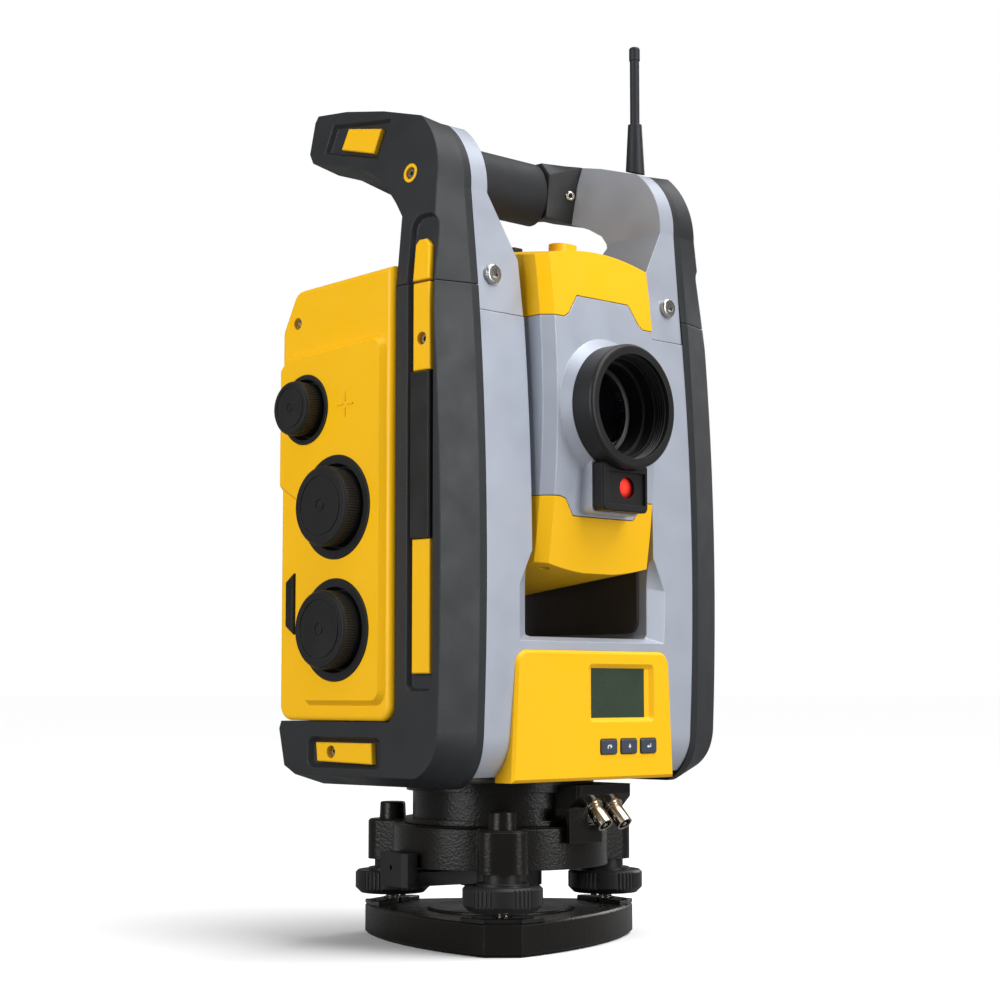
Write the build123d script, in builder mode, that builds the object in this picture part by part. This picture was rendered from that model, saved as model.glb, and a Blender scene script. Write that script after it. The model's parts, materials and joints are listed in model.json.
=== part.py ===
from build123d import *
from math import cos, radians, sin
import os

# Surveying total station on its three-screw tribrach. Millimetres, +Z up.
# The origin is the middle of the base plate's underside, on the vertical axis. The telescope looks
# along -Y. The drive knobs are on the -X side and the battery on the +X side.

os.makedirs("parts", exist_ok=True)

# ---------------------------------------------------------------- driving dimensions
# base plate and foot screws
PLATE_TOP = 15.0             # thickness of the base plate
CORNER_RADIUS = 71.0         # axis to the middle of a cut corner
CORNER_WIDTH = 17.0          # length of a cut corner
SIDE_BOW = 9.0               # how far each side of the plate bows outwards
DISC_RADIUS = 34.5           # raised disc on the plate
SCREW_CIRCLE = 60.6          # axis to each foot screw
FIRST_SCREW = 226.4          # direction of foot screw 1, degrees from +X
SCREW_ANGLES = [FIRST_SCREW + 120.0 * k for k in range(3)]
THREAD_RADIUS = 7.94         # 5/8 inch tripod thread
BUSH_LENGTH = 12.0
BALL_RADIUS = 5.0            # ball foot of each screw
BALL_HEIGHT = 9.5            # its centre above the floor
STEM_RADIUS = 3.2
SPINDLE_RADIUS = 4.0         # threaded stretch of the screw
KNOB_LOW, KNOB_HIGH = 20.0, 31.0
KNOB_RADIUS = 18.25
COLLAR_RADIUS = 8.85

# tribrach
BODY_LOW, BODY_HIGH = 36.5, 56.0
BODY_RADIUS = 51.5
LOBE_WIDTH, LOBE_REACH = 23.0, 71.2
HUB_RADIUS = 20.0
LEVER_ANGLE = 166.4
LEVEL_ANGLE = 45.0
STUD_CIRCLE, STUD_RADIUS = 32.0, 4.6

# lower part of the instrument
SEAT = 56.3                  # underside of the instrument base
DRUM_RADIUS = 42.0
FLANGE_RADIUS = 45.0
DRUM_TOP = 76.6
AXLE_RADIUS = 15.0
FIT = 0.05                   # radial clearance of a running fit
CONNECTOR_X = (8.0, 21.3)

# alidade
ALIDADE_LOW = 77.3
FRAME_LOW = 80.0
FRAME_HALF = 70.0            # half width of the aluminium frame
FRAME_SEAM = 289.0           # where the handle is bolted on
FRAME_BACK = 46.0
REAR_TOP = 304.0             # top of the frame behind the handle's feet
STEP_Y = -28.0               # where the top steps up
INNER_HALF = 41.5            # half width between the columns
GAP_FLOOR = 143.0            # floor of the gap that the telescope turns in
TRUNNION = 248.8             # height of the tilting axis
BUMPER_SEAM = 300.0
SIDE_FACE = 93.5             # outer face of the black bumpers
PANEL_FACE = 96.2            # outer face of the yellow covers
PLATEAU_FACE = 99.5          # raised field on the yellow covers
HANDLE_LEAN = 0.1            # the handle's outer faces lean in by this much per millimetre of height
PANEL_FRONT, PANEL_BACK = -27.6, 50.0
PANEL_LOW, PANEL_HIGH = 105.0, 309.5
SHELL = 2.8                  # wall of the covers
ARM_END = 34.0               # back end of the handle's arms

# knobs on the side: centre (y, z), knob radius, bezel radius
SIDE_KNOBS = {
    "focus_knob": (28.5, TRUNNION, 12.3, 16.5),
    "vertical_knob": (6.3, 202.0, 18.0, 24.0),
    "horizontal_knob": (6.3, 146.0, 17.6, 23.5),
}
KNOB_FACE = PLATEAU_FACE + 9.3
SHAFT_RADIUS = 4.0

# keypad panel
PANEL_Y = -63.5              # its front face
KEY_SIZE = (11.0, 6.7)
KEY_HEIGHT = 92.7
KEYS = {"key_left": 8.0, "key_middle": 21.8, "key_right": 35.6}
KEY_PROUD = 0.9
DISPLAY_X, DISPLAY_Z = (-2.0, 35.0), (106.0, 129.0)

# telescope
SCOPE_HALF = 38.3
SCOPE_CHAMFER = 4.8
BARREL_FRONT, BARREL_BASE = -88.0, -76.0
BARREL_RADIUS = 29.0
BARREL_BORE = 24.3
PART_HIGH, PART_LOW = 289.5, 207.0   # parting heights on the sides of the telescope
SEAM = 0.4
PIVOT_RADIUS = 11.0

# battery door
DOOR_Y, DOOR_Z = (-19.0, 33.0), (123.6, 236.0)
DOOR_GAP = 0.5
HINGE_X, HINGE_Z = 96.6, 127.0
HINGE_RADIUS = 2.9


# ---------------------------------------------------------------- helpers
def polar(radius, angle):
    """Point at a distance and direction from the vertical axis."""
    return (radius * cos(radians(angle)), radius * sin(radians(angle)))


def keep(piece, name):
    """Label a finished piece and write it as one STEP file."""
    piece.part.label = name
    export_step(piece.part, f"parts/{name}.step")


# ---------------------------------------------------------------- base plate
def trivet_outline():
    """Plan of the base plate: three cut corners joined by bowed sides."""
    corners = []
    for angle in SCREW_ANGLES:
        out = Vector(*polar(CORNER_RADIUS, angle))
        along = Vector(*polar(CORNER_WIDTH / 2, angle + 90))
        corners.append((out - along, out + along))
    with BuildSketch() as outline:
        with BuildLine():
            for here, after in zip(corners, corners[1:] + corners[:1]):
                Line(here[0], here[1])
                middle = (here[1] + after[0]) / 2
                ThreePointArc(here[1], middle * (1 + SIDE_BOW / middle.length), after[0])
        make_face()
    return outline.sketch


def base_plate():
    """Cast plate with three ball seats, a raised disc and the hole of the thread bush."""
    with BuildPart() as plate:
        with BuildSketch():
            add(trivet_outline())
        extrude(amount=PLATE_TOP)
        chamfer(plate.edges().group_by(Axis.Z)[-1], 0.9)
        chamfer(plate.edges().group_by(Axis.Z)[0], 1.6)
        with BuildSketch(Plane.XY.offset(PLATE_TOP)):
            Circle(DISC_RADIUS + 1.6)
            Circle(DISC_RADIUS, mode=Mode.SUBTRACT)
        extrude(amount=-1.0, mode=Mode.SUBTRACT)
        with BuildSketch(Plane.XY.offset(PLATE_TOP)):
            Circle(DISC_RADIUS)
        extrude(amount=1.0)
        chamfer(plate.edges().group_by(Axis.Z)[-1], 0.6)
        with Locations(Plane.XY.offset(BALL_HEIGHT)):
            with PolarLocations(SCREW_CIRCLE, 3, start_angle=FIRST_SCREW):
                Sphere(BALL_RADIUS + 0.3, mode=Mode.SUBTRACT)
        with BuildSketch(Plane.XY.offset(BALL_HEIGHT)):
            with PolarLocations(SCREW_CIRCLE, 3, start_angle=FIRST_SCREW):
                Circle(BALL_RADIUS + 0.3)
        extrude(amount=PLATE_TOP, mode=Mode.SUBTRACT)
        with BuildSketch():
            Circle(13.0)
        extrude(amount=BUSH_LENGTH, mode=Mode.SUBTRACT)
        with BuildSketch():
            Circle(THREAD_RADIUS + 0.6)
        extrude(amount=PLATE_TOP + 5, mode=Mode.SUBTRACT)
    keep(plate, "base_plate")


def thread_bush():
    """Steel bush with the tripod thread, open at the underside."""
    with BuildPart() as bush:
        with BuildSketch():
            Circle(13.0)
            Circle(THREAD_RADIUS, mode=Mode.SUBTRACT)
        extrude(amount=BUSH_LENGTH)
    keep(bush, "thread_bush")


def retaining_clips():
    """Spring clips over the ball feet, one at each cut corner, each with two rivets."""
    length, depth, thick = 38.0, 14.5, 2.0
    middle = CORNER_RADIUS - depth / 2
    with BuildPart() as clips:
        with BuildSketch(Plane.XY.offset(PLATE_TOP)):
            with PolarLocations(middle, 3, start_angle=FIRST_SCREW):
                Rectangle(depth, length)
            with PolarLocations(SCREW_CIRCLE, 3, start_angle=FIRST_SCREW):
                Circle(STEM_RADIUS + 1.1, mode=Mode.SUBTRACT)
            with PolarLocations(CORNER_RADIUS + 3.0, 3, start_angle=FIRST_SCREW):
                Rectangle(10.0, CORNER_WIDTH, mode=Mode.SUBTRACT)
        extrude(amount=thick)
        with BuildSketch():
            add(trivet_outline())
        extrude(amount=PLATE_TOP + thick, mode=Mode.INTERSECT)
        chamfer(clips.edges().group_by(Axis.Z)[-1], 0.4)
        with BuildSketch(Plane.XY.offset(PLATE_TOP + thick)):
            with PolarLocations(middle - 0.5, 3, start_angle=FIRST_SCREW):
                with Locations((0, length / 2 - 5.0), (0, 5.0 - length / 2)):
                    Circle(1.5)
        extrude(amount=0.5)
    keep(clips, "retaining_clips")


# ---------------------------------------------------------------- foot screws
def foot_screw(number, angle):
    """Steel spindle: ball foot, plain stem and the threaded stretch in the tribrach."""
    x, y = polar(SCREW_CIRCLE, angle)
    steps = [
        (STEM_RADIUS, BALL_HEIGHT, 42.0),
        (SPINDLE_RADIUS, 41.0, 54.5),
    ]
    with BuildPart() as screw:
        with Locations((x, y, BALL_HEIGHT)):
            Sphere(BALL_RADIUS)
        for radius, low, high in steps:
            with BuildSketch(Plane(origin=(x, y, low))):
                Circle(radius)
            extrude(amount=high - low)
    keep(screw, f"foot_screw_{number}")


def foot_knob(number, angle):
    """Moulded knob: six smooth pads with ribs between them, and a collar above."""
    x, y = polar(SCREW_CIRCLE, angle)
    ribs_in_group, rib_pitch, rib_radius = 5, 6.6, 0.75
    with BuildPart() as knob:
        with BuildSketch(Plane(origin=(x, y, KNOB_LOW))):
            Circle(KNOB_RADIUS)
        extrude(amount=KNOB_HIGH - KNOB_LOW)
        chamfer(knob.edges().group_by(Axis.Z)[0], 2.6)
        chamfer(knob.edges().group_by(Axis.Z)[-1], 1.2)
        grooves = []
        for group in range(6):
            for rib in range(ribs_in_group):
                turn = angle + 30 + 60 * group + rib_pitch * (rib - (ribs_in_group - 1) / 2)
                dx, dy = polar(KNOB_RADIUS + 0.1, turn)
                grooves.append((x + dx, y + dy))
        with BuildSketch(Plane.XY.offset(KNOB_LOW)):
            with Locations(*grooves):
                Circle(rib_radius)
        extrude(amount=KNOB_HIGH - KNOB_LOW, mode=Mode.SUBTRACT)
        with BuildSketch(Plane(origin=(x, y, KNOB_HIGH))):
            Circle(COLLAR_RADIUS + 3.0)
        extrude(amount=1.2)
        with BuildSketch(Plane(origin=(x, y, KNOB_HIGH))):
            Circle(COLLAR_RADIUS)
        extrude(amount=8.5)
        with BuildSketch(Plane(origin=(x, y, KNOB_LOW))):
            Circle(STEM_RADIUS)
        extrude(amount=30, mode=Mode.SUBTRACT)
    keep(knob, f"foot_knob_{number}")


# ---------------------------------------------------------------- tribrach
def tribrach_body():
    """Cast ring with a lobe over each foot screw, stud holes and an ear for the level."""
    with BuildPart() as body:
        with BuildSketch(Plane.XY.offset(BODY_LOW)) as plan:
            Circle(BODY_RADIUS)
            with PolarLocations(LOBE_REACH - 16, 3, start_angle=FIRST_SCREW):
                RectangleRounded(32, LOBE_WIDTH, 8)
            with Locations(polar(BODY_RADIUS - 1.5, LEVEL_ANGLE)):
                Circle(11.0)
        extrude(amount=BODY_HIGH - BODY_LOW)
        chamfer(body.edges().group_by(Axis.Z)[-1], 1.0)
        with BuildSketch(Plane.XY.offset(BODY_LOW)):
            Circle(HUB_RADIUS + 0.08)
        extrude(amount=BODY_HIGH, mode=Mode.SUBTRACT)
        with BuildSketch(Plane.XY.offset(BODY_LOW)):
            Circle(45.0)
            Circle(HUB_RADIUS + 4.0, mode=Mode.SUBTRACT)
        extrude(amount=11.5, mode=Mode.SUBTRACT)
        with BuildSketch(Plane.XY.offset(BODY_LOW)):
            with PolarLocations(SCREW_CIRCLE, 3, start_angle=FIRST_SCREW):
                Circle(COLLAR_RADIUS + 0.35)
        extrude(amount=6.5, mode=Mode.SUBTRACT)
        with BuildSketch(Plane.XY.offset(BODY_LOW)):
            with PolarLocations(SCREW_CIRCLE, 3, start_angle=FIRST_SCREW):
                Circle(SPINDLE_RADIUS + FIT)
            with PolarLocations(STUD_CIRCLE, 3, start_angle=FIRST_SCREW + 60):
                Circle(STUD_RADIUS + 0.3)
        extrude(amount=BODY_HIGH, mode=Mode.SUBTRACT)
        with BuildSketch(Plane(origin=(*polar(BODY_RADIUS + 1.0, LEVEL_ANGLE), BODY_HIGH))):
            Circle(6.5)
        extrude(amount=-7.0, mode=Mode.SUBTRACT)
    keep(body, "tribrach_body")


def screw_caps():
    """Dust caps over the upper ends of the foot screws."""
    with BuildPart() as caps:
        for angle in SCREW_ANGLES:
            x, y = polar(SCREW_CIRCLE, angle)
            with BuildSketch(Plane(origin=(x, y, BODY_HIGH))):
                Circle(6.6)
            extrude(amount=8.2, taper=3)
        fillet(caps.edges().group_by(Axis.Z)[-1], 1.0)
        with BuildSketch(Plane.XY.offset(BODY_HIGH)):
            with PolarLocations(SCREW_CIRCLE, 3, start_angle=FIRST_SCREW):
                Circle(SPINDLE_RADIUS + 0.6)
        extrude(amount=3.5, mode=Mode.SUBTRACT)
    keep(caps, "screw_caps")


def level_vial():
    """Circular level: a glass vial with a domed top in the ear of the tribrach."""
    x, y = polar(BODY_RADIUS + 1.0, LEVEL_ANGLE)
    with BuildPart() as vial:
        with BuildSketch(Plane(origin=(x, y, BODY_HIGH - 7.0))):
            Circle(6.5)
        extrude(amount=7.8)
        fillet(vial.edges().group_by(Axis.Z)[-1], 0.7)
    keep(vial, "level_vial")


def lock_lever():
    """Clamp lever of the tribrach: a ring in its middle bore, an arm and an upturned grip."""
    arm_width, grip_width = 18.0, 25.0
    grip_in, grip_out = BODY_RADIUS + 0.8, 59.5
    with BuildPart() as lever:
        with BuildSketch(Plane.XY.offset(26.5)):
            Circle(HUB_RADIUS)
        extrude(amount=17.5)
        with BuildSketch(Plane.XY.offset(28.0)):
            with PolarLocations((15 + grip_out) / 2, 1, start_angle=LEVER_ANGLE):
                Rectangle(grip_out - 15, arm_width)
        extrude(amount=6.5)
        with BuildSketch(Plane.XY.offset(28.0)):
            with PolarLocations((grip_in + grip_out) / 2, 1, start_angle=LEVER_ANGLE):
                Rectangle(grip_out - grip_in, grip_width)
        extrude(amount=15.5)
        outer = lever.edges().filter_by(Axis.Z).sort_by_distance((0, 0, 35))[-2:]
        chamfer(outer, 2.2)
        with BuildSketch(Plane.XY.offset(26.5)):
            Circle(14.0)
        extrude(amount=20, mode=Mode.SUBTRACT)
        face = Plane(origin=(*polar(grip_out, LEVER_ANGLE), 36.5), z_dir=(*polar(1, LEVER_ANGLE), 0))
        with BuildSketch(face):
            Circle(1.3)
        extrude(amount=-4, mode=Mode.SUBTRACT)
    keep(lever, "lock_lever")


# ---------------------------------------------------------------- lower part of the instrument
def instrument_base():
    """Drum that seats in the tribrach on three studs and holds the vertical axle."""
    steps = [
        (46.0, SEAT, 58.6),
        (DRUM_RADIUS, 58.6, 71.5),
        (FLANGE_RADIUS, 71.5, DRUM_TOP),
    ]
    with BuildPart() as drum:
        for radius, low, high in steps:
            with BuildSketch(Plane.XY.offset(low)):
                Circle(radius)
            extrude(amount=high - low)
        with BuildSketch(Plane.XY.offset(SEAT)):
            with PolarLocations(STUD_CIRCLE, 3, start_angle=FIRST_SCREW + 60):
                Circle(STUD_RADIUS)
        extrude(amount=-7.0)
        with BuildSketch(Plane.XY.offset(DRUM_TOP)):
            Circle(AXLE_RADIUS + FIT)
        extrude(amount=60.0 - DRUM_TOP, mode=Mode.SUBTRACT)
        with BuildSketch(Plane.XY.offset(DRUM_TOP)):
            Circle(38.0)
            Circle(20.0, mode=Mode.SUBTRACT)
        extrude(amount=-13.0, mode=Mode.SUBTRACT)
    keep(drum, "instrument_base")


def connector_bracket():
    """Wedge bracket on the drum, with a slanted face for two sockets and a blank label tab."""
    left, right = -5.5, 31.5
    side = [(-57.0, 75.0), (-57.0, 70.5), (-47.5, 61.0), (-25.0, 61.0), (-25.0, 75.0)]
    with BuildPart() as bracket:
        with BuildSketch(Plane.YZ.offset(left)):
            Polygon(*side, align=None)
        extrude(amount=right - left)
        chamfer(bracket.edges().filter_by(Axis.Z).group_by(Axis.Y)[0], 1.5)
        tab = [(-9.7, 48.5), (12.1, 48.5), (12.1, 56.0), (2.5, 56.0), (2.5, 64.5), (-9.7, 64.5)]
        with BuildSketch(Plane.XZ.offset(53.3)):
            Polygon(*tab, align=None)
        extrude(amount=2.0)
        with BuildSketch(Plane.XY.offset(61.0)):
            with Locations((-3.6, -50.5)):
                Rectangle(12.2, 8.0)
        extrude(amount=3.5)
        with BuildSketch(Plane.XY.offset(50.0)):
            Circle(DRUM_RADIUS)
        extrude(amount=30, mode=Mode.SUBTRACT)
        with BuildSketch(Plane.XY.offset(71.5)):
            Circle(FLANGE_RADIUS)
        extrude(amount=10, mode=Mode.SUBTRACT)
        for x in CONNECTOR_X:
            with BuildSketch(Plane(origin=(x, -52.25, 65.75), x_dir=(1, 0, 0), z_dir=(0, -1, -1))):
                Circle(3.0)
            extrude(amount=-5.0, mode=Mode.SUBTRACT)
    keep(bracket, "connector_bracket")


def connectors():
    """Two round plugs sockets with a nut, a bayonet shell and a hollow end."""
    with BuildPart() as sockets:
        for x in CONNECTOR_X:
            mouth = Plane(origin=(x, -52.25, 65.75), x_dir=(1, 0, 0), z_dir=(0, -1, -1))
            with BuildSketch(mouth.offset(-5.0)):
                Circle(3.0)
            extrude(amount=5.0)
            with BuildSketch(mouth):
                Circle(5.2)
            extrude(amount=2.2)
            with BuildSketch(mouth.offset(2.2)):
                Circle(4.4)
            extrude(amount=1.2)
            with BuildSketch(mouth):
                Circle(3.8)
            extrude(amount=13.0)
            with BuildSketch(mouth.offset(13.0)):
                Circle(3.0)
                Circle(1.0, mode=Mode.SUBTRACT)
            extrude(amount=-5.5, mode=Mode.SUBTRACT)
            with BuildSketch(Plane(origin=mouth.offset(9.0).origin, x_dir=(0, -1, -1), z_dir=(-1, 0, 0))):
                Rectangle(2.6, 1.6)
            extrude(amount=5.0, mode=Mode.SUBTRACT)
    keep(sockets, "connectors")


def vertical_axle():
    """Hollow steel axle that turns in the drum and is bolted to the frame's floor."""
    with BuildPart() as axle:
        with BuildSketch(Plane.XY.offset(60.5)):
            Circle(AXLE_RADIUS)
        extrude(amount=29.5)
        with BuildSketch(Plane.XY.offset(90.0)):
            Circle(26.0)
        extrude(amount=4.0)
        with BuildSketch(Plane.XY.offset(60.5)):
            Circle(9.0)
        extrude(amount=40.0, mode=Mode.SUBTRACT)
    keep(axle, "vertical_axle")


# ---------------------------------------------------------------- alidade frame
def frame_side_outline():
    """Side view of the frame: a gently bowed front, a rounded toe and a stepped top."""
    with BuildSketch() as side:
        with BuildLine():
            ThreePointArc((-57.4, FRAME_SEAM), (-62.6, 175.0), (-60.6, 99.0))
            ThreePointArc((-60.6, 99.0), (-58.3, 88.5), (-52.0, FRAME_LOW))
            Polyline(
                (-52.0, FRAME_LOW), (FRAME_BACK - 6, FRAME_LOW), (FRAME_BACK, FRAME_LOW + 8),
                (FRAME_BACK, REAR_TOP - 6), (FRAME_BACK - 6, REAR_TOP), (STEP_Y, REAR_TOP),
                (STEP_Y, FRAME_SEAM), (-57.4, FRAME_SEAM),
            )
        make_face()
    return side.sketch


def yoke_frame():
    """Aluminium casting: a hollow foot and two columns with the telescope's gap between them."""
    pocket_front, pocket_back, pocket_low, pocket_high = -47.0, 40.0, 90.0, 282.0
    mouth = [(-50.3, 140.6), (50.3, 140.6), (50.3, 166.0), (INNER_HALF, 182.0),
             (-INNER_HALF, 182.0), (-50.3, 166.0)]
    throat = [(-40.0, 144.0), (40.0, 144.0), (40.0, 166.0), (40.0, 182.0), (-40.0, 182.0),
              (-40.0, 166.0)]
    with BuildPart() as frame:
        with BuildSketch(Plane.YZ.offset(-FRAME_HALF)):
            add(frame_side_outline())
        extrude(amount=2 * FRAME_HALF)
        with BuildSketch(Plane.XZ.offset(80)) as gap:
            with Locations((0, (GAP_FLOOR + 320) / 2)):
                Rectangle(2 * INNER_HALF, 320 - GAP_FLOOR)
            fillet(gap.vertices().group_by(Axis.Y)[0], 3.0)
        extrude(amount=-160, mode=Mode.SUBTRACT)
        for outer, inner in ((63.0, 57.0), (-FRAME_BACK - 0.4, -FRAME_BACK + 5.6)):
            with BuildSketch(Plane.XZ.offset(outer)):
                Polygon(*mouth, align=None)
            with BuildSketch(Plane.XZ.offset(inner)):
                Polygon(*throat, align=None)
            loft(ruled=True, mode=Mode.SUBTRACT)
        with BuildSketch(Plane.YZ.offset(-FRAME_HALF)):
            with Locations(((pocket_front + pocket_back) / 2, (pocket_low + 137) / 2)):
                Rectangle(pocket_back - pocket_front, 137 - pocket_low)
        extrude(amount=2 * FRAME_HALF, mode=Mode.SUBTRACT)
        for side in (-1, 1):
            with BuildSketch(Plane.YZ.offset(side * FRAME_HALF)):
                with Locations(((pocket_front + pocket_back) / 2, (pocket_low + pocket_high) / 2)):
                    Rectangle(pocket_back - pocket_front, pocket_high - pocket_low)
            extrude(amount=-side * (FRAME_HALF - INNER_HALF - 5), mode=Mode.SUBTRACT)
            with BuildSketch(Plane.YZ.offset(side * (INNER_HALF + 5))):
                with Locations((0, TRUNNION)):
                    Circle(25.0)
            extrude(amount=side * 8)
            with BuildSketch(Plane.YZ.offset(side * (INNER_HALF - 1))):
                with Locations((0, TRUNNION)):
                    Circle(19.0)
            extrude(amount=side * 20, mode=Mode.SUBTRACT)
        with BuildSketch(Plane.XY.offset(FRAME_LOW)):
            Circle(AXLE_RADIUS + FIT)
        extrude(amount=20, mode=Mode.SUBTRACT)
        with BuildSketch(Plane.XZ.offset(80)):
            add(keypad_outline())
        extrude(amount=-28, mode=Mode.SUBTRACT)
        with BuildSketch(Plane.XZ.offset(80)):
            with Locations((18.5, 109.0)):
                Rectangle(58.0, 42.0)
        extrude(amount=-40, mode=Mode.SUBTRACT)
    keep(frame, "yoke_frame")


def bottom_cover():
    """Black plate under the frame, round the vertical axle."""
    with BuildPart() as cover:
        with BuildSketch(Plane.XY.offset(ALIDADE_LOW)):
            with Locations((0, -5.0)):
                RectangleRounded(2 * FRAME_HALF, 86.0, 10.0)
            Circle(AXLE_RADIUS + 0.5, mode=Mode.SUBTRACT)
        extrude(amount=FRAME_LOW - ALIDADE_LOW)
        chamfer(cover.edges().group_by(Axis.Z)[0].sort_by(SortBy.LENGTH)[1:], 1.0)
    keep(cover, "bottom_cover")


def inner_cheeks():
    """Dark liners on the inner walls of the columns, with a hole for the trunnion."""
    with BuildPart() as cheeks:
        with BuildSketch(Plane.YZ.offset(INNER_HALF - 1.5)) as side:
            with Locations((-6.0, 215.5)):
                RectangleRounded(94.0, 139.0, 6.0)
            with Locations((0, TRUNNION)):
                Circle(18.0, mode=Mode.SUBTRACT)
        extrude(amount=1.5)
        mirror(about=Plane.YZ)
    keep(cheeks, "inner_cheeks")


# ---------------------------------------------------------------- keypad
def keypad_outline():
    """Front view of the keypad panel: slightly wider at the foot, with round upper corners."""
    with BuildSketch() as front:
        Polygon((-54.7, 77.5), (54.7, 77.5), (51.6, 137.0), (-51.6, 137.0), align=None)
        fillet(front.vertices().group_by(Axis.Y)[-1], 7.0)
    return front.sketch


def keypad_panel():
    """Yellow panel on the front of the foot, hollow behind, with a display well and key holes."""
    depth = 11.5
    with BuildPart() as panel:
        with BuildSketch(Plane.XZ.offset(-PANEL_Y - depth)):
            add(keypad_outline())
        extrude(amount=depth)
        chamfer(panel.edges().group_by(Axis.Y)[0], 1.4)
        with BuildSketch(Plane.XZ.offset(-PANEL_Y - depth)):
            offset(keypad_outline(), amount=-2.5)
        extrude(amount=depth - 2.8, mode=Mode.SUBTRACT)
        with BuildSketch(Plane.XZ.offset(-PANEL_Y)):
            with Locations((sum(DISPLAY_X) / 2 + 1.0, sum(DISPLAY_Z) / 2)):
                RectangleRounded(45.5, 27.0, 2.5)
        extrude(amount=-1.8, taper=50, mode=Mode.SUBTRACT)
        with BuildSketch(Plane.XZ.offset(-PANEL_Y)):
            with Locations((sum(DISPLAY_X) / 2, sum(DISPLAY_Z) / 2)):
                Rectangle(DISPLAY_X[1] - DISPLAY_X[0], DISPLAY_Z[1] - DISPLAY_Z[0])
            for x in KEYS.values():
                with Locations((x, KEY_HEIGHT)):
                    RectangleRounded(KEY_SIZE[0] + 0.7, KEY_SIZE[1] + 0.7, 1.2)
        extrude(amount=-10, mode=Mode.SUBTRACT)
    keep(panel, "keypad_panel")


def display_window():
    """Clear window in the display well."""
    with BuildPart() as window:
        with BuildSketch(Plane.XZ.offset(-PANEL_Y - 2.8)):
            with Locations((sum(DISPLAY_X) / 2, sum(DISPLAY_Z) / 2)):
                Rectangle(DISPLAY_X[1] - DISPLAY_X[0], DISPLAY_Z[1] - DISPLAY_Z[0])
        extrude(amount=1.0)
    keep(window, "display_window")


def display_module():
    """Display and keypad board behind the panel, with a switch under each key."""
    with BuildPart() as module:
        with BuildSketch(Plane.XZ.offset(57.0)):
            with Locations((18.0, 117.5)):
                Rectangle(50.0, 25.0)
        extrude(amount=3.7)
        with BuildSketch(Plane.XZ.offset(54.0)):
            with Locations((18.0, 108.5)):
                Rectangle(52.0, 43.0)
        extrude(amount=3.0)
        with BuildSketch(Plane.XZ.offset(57.0)):
            for x in KEYS.values():
                with Locations((x, KEY_HEIGHT)):
                    Circle(1.8)
        extrude(amount=0.7)
    keep(module, "display_module")


def key(name, x):
    """One key: a cap through the panel and a flange behind it."""
    with BuildPart() as cap:
        with BuildSketch(Plane.XZ.offset(59.0)):
            with Locations((x, KEY_HEIGHT)):
                RectangleRounded(KEY_SIZE[0], KEY_SIZE[1], 1.0)
        extrude(amount=-PANEL_Y + KEY_PROUD - 59.0)
        chamfer(cap.edges().group_by(Axis.Y)[0], 0.4)
        with BuildSketch(Plane.XZ.offset(59.0)):
            with Locations((x, KEY_HEIGHT)):
                Rectangle(KEY_SIZE[0] + 1.6, KEY_SIZE[1] + 1.6)
        extrude(amount=1.3)
    keep(cap, name)


# ---------------------------------------------------------------- side covers
def cover_outline():
    """Side view of a yellow cover."""
    with BuildSketch() as side:
        Polygon(
            (PANEL_FRONT, PANEL_HIGH), (40.0, 306.5), (PANEL_BACK, 288.0), (PANEL_BACK, PANEL_LOW),
            (PANEL_FRONT, PANEL_LOW), align=None,
        )
        fillet(side.vertices().group_by(Axis.X)[-1], 7.0)
        fillet(side.vertices().sort_by_distance((40.0, 306.5)).first, 7.0)
        fillet(side.vertices().sort_by_distance((PANEL_FRONT, PANEL_LOW)).first, 7.0)
    return side.sketch


def plateau_outline():
    """Raised field on a yellow cover: narrower at the back below the focus knob."""
    points = [
        (-25.4, 111.5), (28.0, 111.5), (37.0, 121.0), (37.0, 206.0), (49.4, 213.0),
        (49.4, 270.0), (44.0, 275.5), (-25.4, 279.5),
    ]
    with BuildSketch() as field:
        Polygon(*points, align=None)
        fillet(field.vertices().group_by(Axis.X)[0], 7.0)
    return field.sketch


def side_cover_block():
    """Hollow cover on the +X side with its raised field, screw hole and axis mark."""
    mark = [(0, 3.6, 0.6, 4.2), (0, -3.6, 0.6, 4.2), (3.6, 0, 4.2, 0.6), (-3.6, 0, 4.2, 0.6)]
    with BuildPart() as cover:
        with BuildSketch(Plane.YZ.offset(FRAME_HALF)):
            add(cover_outline())
        extrude(amount=PANEL_FACE - FRAME_HALF)
        fillet(cover.edges().group_by(Axis.X)[-1], 2.4)
        with BuildSketch(Plane.YZ.offset(PANEL_FACE - 0.5)):
            add(plateau_outline())
        extrude(amount=PLATEAU_FACE - PANEL_FACE + 0.5, taper=35)
        with BuildSketch(Plane.YZ.offset(FRAME_HALF)):
            offset(cover_outline(), amount=-SHELL)
        extrude(amount=PANEL_FACE - FRAME_HALF - SHELL, mode=Mode.SUBTRACT)
        with BuildSketch(Plane.YZ.offset(PLATEAU_FACE)):
            for y, z, width, height in mark:
                with Locations((y, TRUNNION + z)):
                    Rectangle(width, height)
        extrude(amount=-0.5, mode=Mode.SUBTRACT)
        with BuildSketch(Plane.YZ.offset(PANEL_FACE)):
            with Locations((38.5, 291.0)):
                Circle(2.8)
        extrude(amount=-2.0, mode=Mode.SUBTRACT)
    return cover.part


def knob_side_cover():
    """Yellow cover on the -X side, with a round hole for each knob bezel."""
    with BuildPart() as cover:
        add(mirror(side_cover_block(), about=Plane.YZ, mode=Mode.PRIVATE))
        with BuildSketch(Plane.YZ.offset(-PANEL_FACE + 6)):
            for y, z, knob, bezel in SIDE_KNOBS.values():
                with Locations((y, z)):
                    Circle(bezel)
        extrude(amount=-12, mode=Mode.SUBTRACT)
    keep(cover, "knob_side_cover")


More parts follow.
